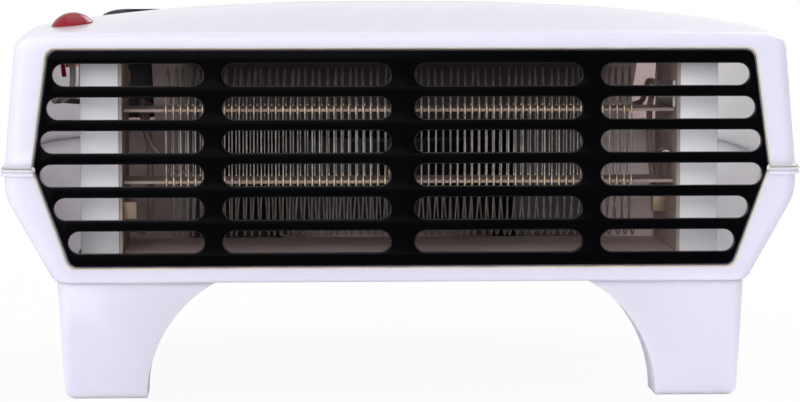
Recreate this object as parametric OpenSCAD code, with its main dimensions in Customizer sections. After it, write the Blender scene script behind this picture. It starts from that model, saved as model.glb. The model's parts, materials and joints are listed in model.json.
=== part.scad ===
// Fan heater with a wide slotted outlet, two clamshell housings and arched legs.
// The origin is on the ground under the middle of the body, +Z is up and the outlet faces -Y.

/* [Body] */
// Width across the side walls at the seam
body_w = 267; // [255:1:285]
// Depth from the front face to the rear wall
body_d = 226; // [220:1:240]
// Height of the floor of the body above the ground
leg_h = 39.4; // [34:0.2:42]
// Height of the lower housing, from its floor to the seam
lower_h = 38.2; // [34:0.2:44]
// Height of the upper housing, from the seam to its front top edge
upper_h = 45.4; // [44:0.2:55]
// Thickness of the moulded walls
wall = 2.4; // [1.8:0.1:2.8]
// Thickness of the front wall that holds the grille
front_wall = 4.2; // [4:0.1:5.5]
// How far each side wall leans in above the seam
side_draft = 3.4; // [2:0.2:5]
// How far the side walls come in below the seam
lower_inset = 16.4; // [14:0.2:16.8]
// Height of the upright band of wall below the seam
seam_band_h = 9; // [6:0.5:10]
// Depth of the rounded rear end
rear_depth = 100; // [90:1:110]
// Fullness of the rounded rear end
rear_power = 2.3; // [2:0.1:2.6]
// Radius of the upright front corners
corner_r = 5; // [3:0.5:8]
// Radius of the roll from the sides to the top
side_round = 6.5; // [4:0.5:9]
// Radius of the roll from the front face to the top
front_round = 1.8; // [1:0.2:2.4]

/* [Crowned top] */
// Rise of the top behind its front edge, out at the sides
side_rise = 1; // [0:0.5:3]
// Extra rise of the crown in the middle
crown_rise = 9; // [7:0.5:12]
// Fullness of the crown across the body
crown_power = 2.6; // [2:0.1:3.2]
// Share of the depth over which the top rises
rise_share = 0.25; // [0.2:0.01:0.4]
// Fall of the top from the crown to the rear
rear_fall = 22; // [16:1:26]

/* [Seam bead] */
// How far the bead stands out of the walls
bead_out = 1.6; // [0.8:0.1:2]
// Height of each of its two lips
bead_h = 1.3; // [0.9:0.1:1.8]
// Height of the groove between the lips
bead_groove = 0.3; // [0.2:0.1:0.6]

/* [Grille] */
// Thickness of the grille plate
grille_t = 2.4; // [1.6:0.1:2.6]
// White border above and below the grille
grille_edge = 5.1; // [4:0.1:7]
// White border beside the grille at the seam
grille_side = 9.5; // [7:0.5:12]
// How much narrower each top corner is than the side points
grille_top_in = 5.2; // [3:0.2:9]
// How much narrower each bottom corner is than the side points
grille_bottom_in = 12.2; // [11:0.2:17]
// Radius of its corners
grille_corner = 3.4; // [2:0.2:5]
// Rows of slots
slot_rows = 6; // [5:1:7]
// Height of a slot
slot_h = 7.45; // [5:0.05:8.5]
// Rim above the first and below the last row
grille_rim = 4.9; // [4:0.1:7]
// Width of the middle bar
middle_bar_w = 8.1; // [6:0.1:11]
// Width of the other two upright bars
bar_w = 6.4; // [5:0.1:9]
// Length of the inner slots
inner_slot = 56.4; // [50:0.2:58]
// Rim beside a slot far from the side points
slot_rim = 2.9; // [2:0.1:4]
// Rim beside a slot at the side points
point_rim = 1.3; // [1:0.1:2]
// Gap round the grille in its seat
grille_gap = 0.4; // [0.2:0.1:0.6]
// Width of the ledge behind the edge of the grille
grille_ledge = 1.2; // [0.8:0.1:1.6]

/* [Legs] */
// Depth of a front leg
leg_d = 20; // [18:1:26]
// How far the front of a leg stands back from the front face
leg_setback = 4; // [3:0.5:6]
// Distance of the outer edge of a leg's top inside the side wall at the seam
leg_in = 17.1; // [16.9:0.2:21.5]
// How far that edge leans in at the ground
leg_taper = 2.5; // [1:0.5:4]
// Radius of the arch between the legs
arch_r = 44.7; // [40:0.1:48]
// Width of a leg at the ends of that arch
leg_w = 30.1; // [28.5:0.1:33]
// Radius of the corners at the ground
leg_corner = 3; // [2:0.5:5]
// Radius of the upright corners of a leg
leg_round = 4; // [2:0.5:6]
// Radius of a rear foot at the ground
foot_r = 5.5; // [5:0.5:6]
// Distance of a rear foot inside the side wall at the seam
foot_in = 26.5; // [26:0.5:29]
// Distance of the rear feet ahead of the rear wall
foot_back = 85; // [79:1:93]
// Distance of the outer leg screws inside the edge of the leg
leg_screw_in = 24.6; // [20:0.2:26]
// Distance between the two screws of a leg
leg_screw_pitch = 12; // [11:0.5:13]

/* [Heating element] */
// Distance of a side board inside the side wall at the seam
board_in = 38.7; // [38:0.1:41.5]
// Thickness of the mica boards and strips
mica_t = 1; // [0.8:0.1:1.4]
// Depth of the mica strips that carry the wires
strip_d = 23; // [18:1:27]
// Height of the upper strip above the floor of the duct
upper_strip_h = 48.6; // [46:0.2:52]
// Height of the lower strip above the floor of the duct
lower_strip_h = 24; // [21:0.2:28]
// Number of turns in each of the two wires
wire_turns = 32; // [20:1:34]
// Space between the outermost turn of a wire and the side board
wire_side = 14.8; // [12:0.2:20]
// Thickness of the resistance wire
wire_t = 0.6; // [0.5:0.05:0.7]
// Clearance between a wire and its notch
notch_gap = 0.2; // [0.15:0.05:0.3]

/* [Blower] */
// Height of the motor plate above the seam
plate_h = 10.2; // [8:0.2:11]
// Radius of the blower wheel
wheel_r = 50; // [46:1:52]
// Height of the blower wheel
wheel_h = 33; // [26:1:34]
// Depth of its ring of blades
blade_d = 12; // [9:1:15]
// Number of blades
blades = 30; // [20:1:32]
// Thickness of the wheel's plates and blades
wheel_t = 1.4; // [1.1:0.1:1.8]
// Distance of the blower axis ahead of the rear wall
blower_back = 93; // [91:1:97]
// Radius of the air inlet in the floor
inlet_r = 38; // [34:1:40]
// Radius of the motor shaft
shaft_r = 2.5; // [2:0.25:3]
// Running clearance on the radius of a shaft
run_gap = 0.05; // [0.03:0.01:0.08]
// Thickness of the sheet metal parts
sheet_t = 1.2; // [0.8:0.1:1.6]

/* [Motor] */
// Width and depth of the lamination stack
stack_w = 58; // [54:1:62]
// Height of the stack
stack_h = 14; // [10:1:15]
// Radius of the rotor
rotor_r = 12; // [10:0.5:13]
// Width of the iron bar inside the coil
yoke_w = 12; // [10:0.5:14]
// Thickness of the winding
winding_t = 5; // [3:0.5:5.5]

/* [Controls] */
// Radius of a knob
knob_r = 16; // [13:0.5:17]
// Height of a knob
knob_h = 14.5; // [11:0.5:16]
// How far a knob stands above the top beside it
knob_proud = 1.8; // [1:0.2:5]
// Gap between a knob and its well
knob_gap = 2; // [1:0.25:3]
// Distance of the front knob inside the side wall at the seam
knob_in = 42.5; // [40:0.5:44]
// Distance between the two knobs, front to rear
knob_pitch = 45; // [43:1:48]
// Distance of the front knob ahead of the blower axis
knob_ahead = 28; // [25:0.5:30]
// How much nearer to the middle the rear knob stands
knob_shift = 5; // [4:0.5:8]
// Radius of the control spindles
spindle_r = 3; // [2.5:0.25:3.5]
// Radius of the indicator lens
lens_r = 7.1; // [6:0.1:8]
// Height of the dome of the lens
lens_rise = 4; // [3:0.2:6]
// Distance of the lens behind the front face
lens_back = 27; // [24:0.5:32]
// Distance of the lens inside the side wall at the seam
lens_in = 21.6; // [20:0.2:24]

/* [Mains entry] */
// Radius of the bore for the cord
cord_r = 3.6; // [3:0.1:4.2]
// Height of the cord above the seam
cord_h = 16.8; // [15:0.2:19]
// Distance of the cord from the middle
cord_in = 46; // [42:1:48]

/* [Hidden] */

white = [0.93, 0.92, 0.96];
panel_white = [0.82, 0.83, 0.87];
black = [0.05, 0.05, 0.06];
mica = [0.45, 0.38, 0.33];
steel = [0.72, 0.72, 0.74];
brass = [0.78, 0.62, 0.32];
copper = [0.70, 0.38, 0.22];

$fn = 48;
eps = 0.01;
seat_gap = 0.3;

front_y = -body_d / 2;
rear_y = body_d / 2;
side_y = rear_y - rear_depth;
half_w = body_w / 2;
leg_out = half_w - leg_in;
arch_x = leg_out - leg_w - arch_r;
foot_x = half_w - foot_in;
foot_y = rear_y - foot_back;
duct_half = half_w - board_in;
wire_pitch = (duct_half - wire_side) / wire_turns;
blower_y = rear_y - blower_back;
knob_x = half_w - knob_in;
knob_y = blower_y - knob_ahead;
seam_z = leg_h + lower_h;
edge_z = seam_z + upper_h;
floor_z = leg_h + wall;
cavity_y = front_y + front_wall;

// Radius that runs along the rim: the front radius on the front edge, the side radius elsewhere
corner_steps = 3;
side_steps = 3;
rear_steps = 32;
front_steps = 10;

function fullness(c) = sign(c) * pow(abs(c), 2 / rear_power);

// Plan outline: straight front and sides and a full rounded rear, anticlockwise from the right
function plan(a, yf, yr, r) = let (ys = side_y) concat(
    [for (i = [0:corner_steps]) let (q = -90 + 90 * i / corner_steps)
        [a - r + r * cos(q), yf + r + r * sin(q)]],
    [for (i = [1:side_steps]) [a, yf + r + (ys - yf - r) * i / side_steps]],
    [for (i = [1:rear_steps - 1]) let (q = 180 * i / rear_steps)
        [a * fullness(cos(q)), ys + (yr - ys) * fullness(sin(q))]],
    [for (i = [0:side_steps - 1]) [-a, ys - (ys - yf - r) * i / side_steps]],
    [for (i = [0:corner_steps]) let (q = 180 + 90 * i / corner_steps)
        [-a + r + r * cos(q), yf + r + r * sin(q)]],
    [for (i = [1:front_steps - 1]) [-(a - r) + 2 * (a - r) * i / front_steps, yf]]);

// Share of the side radius at each plan point: 0 on the front edge, 1 on the sides and rear
rim_share = concat(
    [for (i = [0:corner_steps]) i / corner_steps],
    [for (i = [1:2 * side_steps + rear_steps - 1]) 1],
    [for (i = [0:corner_steps]) 1 - i / corner_steps],
    [for (i = [1:front_steps - 1]) 0]);

// Height of the crowned top over a point
function top_share(y) = (y - front_y) / body_d;
function rise(x) = side_rise + crown_rise * max(0, 1 - pow(abs(x) / (half_w - 5), crown_power));
function top_z(x, y) = let (v = max(0, top_share(y)))
    edge_z + rise(x) * (v < rise_share ? 1 - pow(1 - v / rise_share, 2) : 1)
    - (v < rise_share ? 0 : rear_fall * pow((v - rise_share) / (1 - rise_share), 2));

// Rings of an upper shell, inset by t on all sides; f is the inset of its front face
function roll_ring(t, f, rs, rf, q) = let (
    in = side_draft + t + rs * (1 - cos(q)),
    p = plan(half_w - in, front_y + f + rf * (1 - cos(q)), rear_y - in, corner_r))
    [for (i = [0:len(p) - 1]) let (r = rf + (rs - rf) * rim_share[i])
        [p[i][0], p[i][1], top_z(p[i][0], p[i][1]) - t - r * (1 - sin(q))]];

function wall_ring(t, f, z) = let (p = plan(half_w - t, front_y + f, rear_y - t, corner_r))
    [for (c = p) [c[0], c[1], z]];

// Caps fan out from the middle of the rear, so that none of their faces is a sliver
cap_start = corner_steps + side_steps + rear_steps / 2;

function top_ring(rim, s, t) = [for (c = rim) [s * c[0], s * c[1], top_z(s * c[0], s * c[1]) - t]];

// Closed skin over stacked rings, with a flat cap below and a point at the top
module loft(rings, tip) {
    n = len(rings[0]);
    m = len(rings);
    points = concat([for (r = rings) each r], [tip]);
    sides = [for (j = [0:m - 2]) for (i = [0:n - 1]) let (k = (i + 1) % n)
        [j * n + i, (j + 1) * n + i, (j + 1) * n + k, j * n + k]];
    caps = [for (i = [0:n - 1]) [(m - 1) * n + i, m * n, (m - 1) * n + (i + 1) % n]];
    polyhedron(points, concat(sides, caps, [[for (i = [0:n - 1]) (i + cap_start) % n]]),
        convexity = 6);
}

// Closed skin over stacked rings with a flat cap at each end
module stack(rings) {
    n = len(rings[0]);
    m = len(rings);
    sides = [for (j = [0:m - 2]) for (i = [0:n - 1]) let (k = (i + 1) % n)
        [j * n + i, (j + 1) * n + i, (j + 1) * n + k, j * n + k]];
    polyhedron([for (r = rings) each r], concat(sides,
        [[for (i = [0:n - 1]) (i + cap_start) % n]],
        [[for (i = [n - 1:-1:0]) (m - 1) * n + (i + cap_start) % n]]), convexity = 6);
}

module upper_solid(t, f, z0, rs, rf, rolls, shares) {
    rim = roll_ring(t, f, rs, rf, 90);
    loft(concat([wall_ring(t, f, z0)],
        [for (i = [0:rolls]) roll_ring(t, f, rs, rf, 90 * i / rolls)],
        [for (s = shares) top_ring(rim, s, t)]),
        [0, 0, top_z(0, 0) - t]);
}

// Lower shell: a small round at the floor, slanted walls and a rounded knee under the seam band
knee_h = 3;
knee_in = 0.45;
module lower_solid(t, f, z0, z1) {
    slope_h = lower_h - seam_band_h;
    floor_round = [[1, 0], [0.3, 0.6], [0, 1.6], [0, slope_h - knee_h]];
    rings = concat(
        [for (c = floor_round) let (in = t + lower_inset * (1 - c[1] / slope_h) + c[0],
            back = t + 1.4 * (in - t))
            [for (p = plan(half_w - in, front_y + f + c[0], rear_y - back, corner_r))
                [p[0], p[1], z0 + c[1]]]],
        [[for (p = plan(half_w - t - knee_in, front_y + f, rear_y - t - 1.4 * knee_in, corner_r))
            [p[0], p[1], z0 + slope_h]]],
        [wall_ring(t, f, z0 + slope_h + knee_h), wall_ring(t, f, z1)]);
    stack(rings);
}

// Flat ring that follows the plan outline, from inset a to inset b
module plan_band(a, b, z0, h) {
    translate([0, 0, z0]) linear_extrude(h) difference() {
        polygon(plan(half_w + a, front_y - a, rear_y + a, corner_r + a));
        polygon(plan(half_w - b, front_y + b, rear_y - b, corner_r));
    }
}

// Upright extrusion from an outline drawn in X and Z, between two values of Y
module upright(y0, y1) {
    translate([0, y1, 0]) rotate([90, 0, 0]) linear_extrude(y1 - y0) children();
}

// Grille outline: six corners, inset by g
point_z = seam_z + 0.8;
grille_top_z = edge_z - grille_edge;
grille_bottom_z = leg_h + grille_edge;
point_x = half_w - grille_side;

function round_corner(p, a, b, r, steps) = let (
    u = (a - p) / norm(a - p), v = (b - p) / norm(b - p),
    half = acos(u * v) / 2, m = (u + v) / norm(u + v),
    c = p + m * r / sin(half), s = p + u * r / tan(half) - c, e = p + v * r / tan(half) - c,
    turn = 180 - 2 * half)
    [for (i = [0:steps]) let (q = turn * i / steps)
        c + (s * sin(turn - q) + e * sin(q)) / sin(turn)];

function rounded(pts, r, steps) = let (n = len(pts))
    [for (i = [0:n - 1]) each round_corner(pts[i], pts[(i + n - 1) % n], pts[(i + 1) % n],
        r, steps)];

function grille_hex(g) = [
    [point_x - grille_bottom_in - g, grille_bottom_z + g], [point_x - g, point_z],
    [point_x - grille_top_in - g, grille_top_z - g],
    [-point_x + grille_top_in + g, grille_top_z - g], [-point_x + g, point_z],
    [-point_x + grille_bottom_in + g, grille_bottom_z + g]];

module grille_outline(g) {
    polygon(rounded(grille_hex(g), grille_corner, 5));
}

// Half the width of the grille at a height
function grille_half(z) = z > point_z
    ? point_x - grille_top_in * (z - point_z) / (grille_top_z - point_z)
    : point_x - grille_bottom_in * (point_z - z) / (point_z - grille_bottom_z);

slot_top_z = grille_top_z - grille_rim - slot_h / 2;
slot_pitch = (grille_top_z - grille_bottom_z - 2 * grille_rim - slot_h) / (slot_rows - 1);

module slot(x0, x1, z) {
    r = slot_h / 2;
    translate([x0 + r, z - r]) square([x1 - x0 - slot_h, slot_h]);
    for (x = [x0 + r, x1 - r]) translate([x, z]) circle(r, $fn = 32);
}

module grille_slots() {
    inner0 = middle_bar_w / 2;
    outer0 = inner0 + inner_slot + bar_w;
    for (i = [0:slot_rows - 1]) {
        z = slot_top_z - slot_pitch * i;
        rim = point_rim + (slot_rim - point_rim) * min(1, abs(z - point_z) / 30);
        outer1 = grille_half(z) - rim;
        for (m = [0, 1]) mirror([m, 0]) {
            slot(inner0, inner0 + inner_slot, z);
            slot(outer0, outer1, z);
        }
    }
}

// Grille posts that snap behind the ledge of the front wall
post_r = 2;
inner_post_x = (middle_bar_w + inner_slot) / 2;
post_xs = [for (s = [-1, 1], x = [inner_post_x, inner_post_x + inner_slot + bar_w]) s * x];
post_in = grille_rim - post_r - 0.1;
post_zs = [grille_top_z - post_in, grille_bottom_z + post_in];
grille_face_y = front_y + 0.2;
grille_back_y = grille_face_y + grille_t;

module front_grille() color(black) {
    upright(grille_face_y, grille_back_y) difference() {
        grille_outline(grille_gap);
        grille_slots();
    }
    for (x = post_xs, z = post_zs)
        translate([x, grille_back_y - eps, z]) rotate([-90, 0, 0])
            cylinder(r = post_r, h = front_wall - grille_t + 1.2, $fn = 24);
}

module grille_seat() {
    upright(front_y - 5, grille_back_y) grille_outline(0);
    upright(grille_back_y - 1, cavity_y + 5) difference() {
        grille_outline(grille_gap + grille_ledge);
        for (x = post_xs, z = [grille_top_z, grille_bottom_z]) translate([x, z])
            square([4 * post_r, 2 * grille_rim], center = true);
    }
    for (x = post_xs, z = post_zs)
        translate([x, grille_back_y - 1, z]) rotate([-90, 0, 0])
            cylinder(r = post_r + seat_gap, h = front_wall + 4, $fn = 24);
}

// Places of the knobs, their wells and the screws
knob_places = [[-knob_x, knob_y], [-knob_x + knob_shift, knob_y + knob_pitch]];
well_r = knob_r + knob_gap;
knob_lift = 0.6;
function well_floor(p) = top_z(p[0], p[1]) + knob_proud - knob_h - knob_lift;
lens_place = [-half_w + lens_in, front_y + lens_back];
lens_point = [lens_place[0], lens_place[1], top_z(lens_place[0], lens_place[1])];
// The lens stands square on the top, so it leans out and forward with the slope there
lens_lean = atan(top_z(lens_place[0] + 0.5, lens_place[1])
    - top_z(lens_place[0] - 0.5, lens_place[1]));
lens_nod = atan(top_z(lens_place[0], lens_place[1] + 0.5)
    - top_z(lens_place[0], lens_place[1] - 0.5));
module by_lens() {
    translate(lens_point) rotate([lens_nod, -lens_lean, 0]) children();
}
function lens_at(h) = lens_point
    + h * [-sin(lens_lean) * cos(lens_nod), -sin(lens_nod), cos(lens_lean) * cos(lens_nod)];
// The side boards of the duct, and the end panels that stand beside them
panel_t = 2;
flange_w = 13;
panel_x = duct_half + mica_t + 0.1;

clamp_w = 24;
bush_r = 4.2;
boss_r = 4.5;
screw_r = 1.7;
screw_gap = 0.3;
front_boss = [panel_x + panel_t + boss_r + 1.6, front_y + 47];
rear_boss = [cord_in + clamp_w / 2 + 8, rear_y - 49];
housing_screw_places = [for (s = [-1, 1], p = [front_boss, rear_boss]) [s * p[0], p[1]]];
screw_head_z = leg_h + 8;
screw_head_r = 3.6;
leg_screw_xs = [leg_out - leg_screw_in - leg_screw_pitch, leg_out - leg_screw_in];
leg_screw_y = front_y + leg_setback + leg_d / 2;

module upper_housing() color(white) {
    difference() {
        upper_solid(0, 0, seam_z, side_round, front_round, 4, [0.9, 0.78, 0.64, 0.5, 0.36, 0.2]);
        difference() {
            upper_solid(wall, front_wall, seam_z - 5, side_round - wall, 0.6, 2,
                [0.9, 0.76, 0.6, 0.44, 0.24]);
            for (p = housing_screw_places) translate([p[0], p[1], seam_z])
                cylinder(r = boss_r, h = 80);
            for (p = knob_places) translate([p[0], p[1], well_floor(p) - wall])
                cylinder(r = well_r + wall, h = 60);
            by_lens() translate([0, 0, -wall - 3]) cylinder(r = lens_r + 1.2, h = 30);
        }
        grille_seat();
        for (p = knob_places) translate([p[0], p[1], well_floor(p)]) {
            cylinder(r = well_r, h = 60);
            translate([0, 0, -20]) cylinder(r = bush_r + seat_gap, h = 40);
        }
        by_lens() {
            translate([0, 0, -20]) cylinder(r = lens_r - 1.2, h = 60);
            translate([0, 0, -wall]) cylinder(r = lens_r + run_gap * 2, h = 30);
        }
        for (p = housing_screw_places) translate([p[0], p[1], seam_z - 5])
            cylinder(r = screw_r + run_gap, h = 5 + 16);
        rear_slots();
        cord_hole();
    }
    difference() {
        plan_band(bead_out, 1, seam_z + bead_groove / 2, bead_h);
        grille_seat();
    }
}

module lower_housing() color(white) {
    difference() {
        lower_solid(0, 0, leg_h, seam_z);
        difference() {
            lower_solid(wall, front_wall, floor_z, seam_z + 5);
            for (p = housing_screw_places) translate([p[0], p[1], leg_h])
                cylinder(r = boss_r, h = lower_h);
            for (s = [-1, 1]) translate([s * foot_x, foot_y, leg_h]) cylinder(r = 5, h = wall + 4);
        }
        grille_seat();
        for (p = housing_screw_places) translate([p[0], p[1], leg_h - 5]) {
            cylinder(r = screw_r + screw_gap, h = lower_h + 10);
            cylinder(r = screw_head_r + screw_gap, h = screw_head_z - leg_h + 5);
        }
        for (s = [-1, 1]) {
            for (x = leg_screw_xs) translate([s * x, leg_screw_y, leg_h - 5])
                cylinder(r = screw_r + screw_gap, h = 20);
            translate([s * foot_x, foot_y, leg_h - 5]) cylinder(r = screw_r + screw_gap, h = 30);
        }
        translate([0, blower_y, leg_h - 5]) cylinder(r = inlet_r + seat_gap, h = 30, $fn = 96);
    }
    difference() {
        plan_band(bead_out, 1, seam_z - bead_groove / 2 - bead_h, bead_h);
        grille_seat();
    }
}

// Cooling slots for the motor in the rear wall
louvre_pitch = 7;
louvre_w = 3;
louvre_h = 13;
module rear_slots() {
    for (i = [-3:3]) translate([i * louvre_pitch - louvre_w / 2, rear_y - 25, seam_z + 10])
        cube([louvre_w, 60, louvre_h]);
}

// Legs and feet
module leg_profile(g) {
    steps = 14;
    outer = leg_out - g;
    polygon(concat(
        [for (i = [0:steps]) let (z = leg_h - (leg_h - g) * i / steps,
            x = arch_x + sqrt(pow(arch_r + g, 2) - z * z)) [x, z]],
        [for (i = [0:4]) let (q = -90 + 90 * i / 4)
            [outer - leg_taper - leg_corner + leg_corner * cos(q),
                g + leg_corner + leg_corner * sin(q)]],
        [[outer, leg_h]]));
}

leg_bore = 10.6;
module leg() {
    y0 = front_y + leg_setback;
    difference() {
        intersection() {
            upright(y0, y0 + leg_d) leg_profile(0);
            linear_extrude(leg_h) union() {
                translate([0, y0 + leg_round]) square([leg_out, leg_d - leg_round]);
                translate([0, y0]) square([leg_out - leg_round, leg_d]);
                translate([leg_out - leg_round, y0 + leg_round]) circle(leg_round, $fn = 40);
            }
        }
        difference() {
            upright(y0 + wall, y0 + leg_d + 5) intersection() {
                leg_profile(wall);
                square([200, leg_h - wall]);
            }
            for (x = leg_screw_xs) translate([x, leg_screw_y, leg_h - 14])
                cylinder(r = boss_r, h = 20);
        }
        for (x = leg_screw_xs) translate([x, leg_screw_y, leg_h - leg_bore])
            cylinder(r = screw_r + run_gap, h = 20);
    }
}

module left_leg() color(white) mirror([1, 0, 0]) leg();
module right_leg() color(white) leg();

module rear_foot(s) {
    translate([s * foot_x, foot_y, 0]) difference() {
        rotate_extrude() polygon([[0, 0], [foot_r - 1, 0], [foot_r, 1], [foot_r + 0.5, leg_h], [0, leg_h]]);
        translate([0, 0, leg_h - 16]) cylinder(r = screw_r + run_gap, h = 20);
    }
}

module left_rear_foot() color(white) rear_foot(-1);
module right_rear_foot() color(white) rear_foot(1);

// Pan-head screw with its head up and its seat at the origin
module screw(length, r, head_r, head_h) {
    translate([0, 0, -length]) cylinder(r = r, h = length + eps, $fn = 24);
    difference() {
        cylinder(r1 = head_r, r2 = head_r * 0.75, h = head_h, $fn = 32);
        for (q = [0, 90]) rotate(q) translate([-head_r * 0.6, -0.4, head_h * 0.5])
            cube([head_r * 1.2, 0.8, head_h]);
    }
}

module leg_screws() color(steel)
    for (s = [-1, 1], x = leg_screw_xs) translate([s * x, leg_screw_y, floor_z])
        screw(wall + 10, screw_r, screw_head_r, 2.2);

module foot_screws() color(steel)
    for (s = [-1, 1]) translate([s * foot_x, foot_y, floor_z + 4])
        screw(wall + 16, screw_r, screw_head_r, 2.2);

module housing_screws() color(steel)
    for (p = housing_screw_places) translate([p[0], p[1], screw_head_z]) mirror([0, 0, 1])
        screw(seam_z - screw_head_z + 13, screw_r, screw_head_r, 2.4);

// Air inlet in the floor
inlet_ring_h = 1.4;
module intake_grille() color(black) {
    translate([0, blower_y, leg_h]) {
        linear_extrude(wall) {
            for (r = [7 : 6.2 : inlet_r - 3]) difference() {
                circle(r, $fn = 72);
                circle(r - 2, $fn = 72);
            }
            difference() {
                circle(inlet_r, $fn = 96);
                circle(inlet_r - 2.2, $fn = 96);
            }
            for (q = [0:60:300]) rotate(q) translate([3, -1]) square([inlet_r - 4, 2]);
        }
        translate([0, 0, wall]) linear_extrude(inlet_ring_h) difference() {
            circle(inlet_r + 3, $fn = 96);
            circle(inlet_r - 2.2, $fn = 96);
        }
    }
}

// Bell mouth between the inlet and the wheel
plate_z = seam_z + plate_h;
wheel_top_z = plate_z - 5;
wheel_z = wheel_top_z - wheel_h;
mouth_r = inlet_r - 2;
module inlet_ring() color(steel) {
    z0 = floor_z + inlet_ring_h;
    z1 = wheel_z - 1.5;
    translate([0, blower_y, 0]) rotate_extrude($fn = 96) polygon(concat(
        [[inlet_r + 3, z0], [inlet_r + 3, z0 + sheet_t]],
        [for (i = [0:6]) let (q = 90 * i / 6)
            [inlet_r + 1 - (inlet_r + 1 - mouth_r - sheet_t) * sin(q),
                z0 + sheet_t + (z1 - z0 - sheet_t) * (1 - cos(q))]],
        [for (i = [6:-1:0]) let (q = 90 * i / 6)
            [inlet_r + 1 - (inlet_r + 1 - mouth_r) * sin(q), z0 + (z1 - z0) * (1 - cos(q))]]));
}

// Scroll wall: a band that follows a spiral round the wheel and opens into the duct
duct_back_y = blower_y - wheel_r - 8;
duct_front_y = front_y + 17;
board_d = duct_back_y - 2 - duct_front_y;
scroll_t = 1.6;
function offset_path(p, d) = [for (i = [0:len(p) - 1]) let (
    a = p[max(0, i - 1)], b = p[min(len(p) - 1, i + 1)], t = (b - a) / norm(b - a))
    p[i] + d * [t[1], -t[0]]];
module path_band(p, w) {
    polygon(concat(offset_path(p, w / 2), [for (i = [len(p) - 1:-1:0]) offset_path(p, -w / 2)[i]]));
}
scroll_start = -30;
scroll_end = 196;
scroll_steps = 36;
scroll_path = concat([[duct_half - 0.2, duct_back_y]],
    [for (i = [0:scroll_steps]) let (
        q = scroll_start + (scroll_end - scroll_start) * i / scroll_steps,
        r = wheel_r + 5 + 14 * i / scroll_steps)
        [r * cos(q), blower_y + r * sin(q)]],
    [[-duct_half + 0.2, duct_back_y]]);
module scroll_wall() color(steel)
    translate([0, 0, floor_z]) linear_extrude(plate_z - floor_z) path_band(scroll_path, scroll_t);

// Motor plate over the scroll
post_x = 23;
module motor_plate() color(steel)
    translate([0, 0, plate_z]) linear_extrude(sheet_t) difference() {
        polygon(concat([[duct_half - 0.2, duct_back_y + 6], [-duct_half + 0.2, duct_back_y + 6]],
            [for (i = [scroll_steps:-1:0]) let (
                q = scroll_start + (scroll_end - scroll_start) * i / scroll_steps,
                r = wheel_r + 7.5 + 14 * i / scroll_steps)
                [r * cos(q), blower_y + r * sin(q)]]));
        translate([0, blower_y]) {
            circle(8);
            for (s = [-1, 1]) translate([s * post_x, 0]) circle(screw_r + screw_gap, $fn = 24);
        }
    }

// Sheet metal duct over and under the element
duct_top_z = grille_top_z - 1.6;
duct_floor_z = grille_bottom_z + 2.6;
strip_y0 = duct_front_y + 6;
strip_y1 = strip_y0 + strip_d;
duct_bend_y = strip_y1 + 5;
module duct_sheet(points, x0, x1) {
    translate([x0, 0, 0]) rotate([90, 0, 90]) linear_extrude(x1 - x0)
        path_band(points, sheet_t);
}

module duct_top() color(mica) {
    notch = 9;
    duct_sheet([[duct_front_y, duct_top_z], [duct_bend_y, duct_top_z]],
        -duct_half + seat_gap, duct_half - seat_gap);
    duct_sheet([[duct_bend_y - 1, duct_top_z], [duct_bend_y, duct_top_z],
        [duct_back_y + 6, plate_z + sheet_t * 1.8]], -duct_half + notch, duct_half - notch);
}

module duct_floor() color(mica) {
    duct_sheet([[duct_front_y, duct_floor_z], [duct_back_y - 1.2, duct_floor_z]],
        -duct_half + seat_gap, duct_half - seat_gap);
    for (s = [-1, 1], y = [duct_front_y + 14, duct_back_y - 10])
        translate([s * (duct_half - 12) - 4, y, floor_z])
            cube([8, 1.2, duct_floor_z - floor_z]);
}

// White end panels: a flange that faces the front and a wall beside the board
panel_top_z = edge_z - 6;
module partition() {
    translate([0, 0, floor_z]) linear_extrude(panel_top_z - floor_z) union() {
        translate([panel_x, duct_front_y]) square([panel_t, board_d]);
        translate([panel_x, duct_front_y]) square([flange_w, panel_t]);
    }
}
module left_partition() color(panel_white) mirror([1, 0, 0]) right_panel();
module right_partition() color(panel_white) right_panel();
module right_panel() {
    intersection() {
        partition();
        upright(front_y, rear_y) polygon([[0, floor_z],
            [half_w - lower_inset - wall - 2.5, floor_z], [half_w - wall - 4, seam_z - 2],
            [half_w, edge_z], [0, edge_z]]);
    }
}

rivet_r = 1.6;
rivet_y = board_d - 7;
rivet_zs = [23.8, 63];
module mica_board() {
    translate([duct_half, duct_front_y, floor_z + 1]) difference() {
        cube([mica_t, board_d, duct_top_z + 1 - floor_z]);
        for (z = rivet_zs) translate([-1, rivet_y, z]) rotate([0, 90, 0])
            cylinder(r = rivet_r + run_gap, h = 5, $fn = 24);
    }
}
module left_mica_board() color(mica) mirror([1, 0, 0]) mica_board();
module right_mica_board() color(mica) mica_board();

module board_rivets() color(brass)
    for (s = [0, 1], z = rivet_zs) mirror([s, 0, 0])
        translate([duct_half, duct_front_y + rivet_y, floor_z + 1 + z]) rotate([0, 90, 0]) {
            cylinder(r = rivet_r, h = mica_t, $fn = 24);
            translate([0, 0, -0.8]) cylinder(r = 2.6, h = 0.8, $fn = 24);
        }

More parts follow.
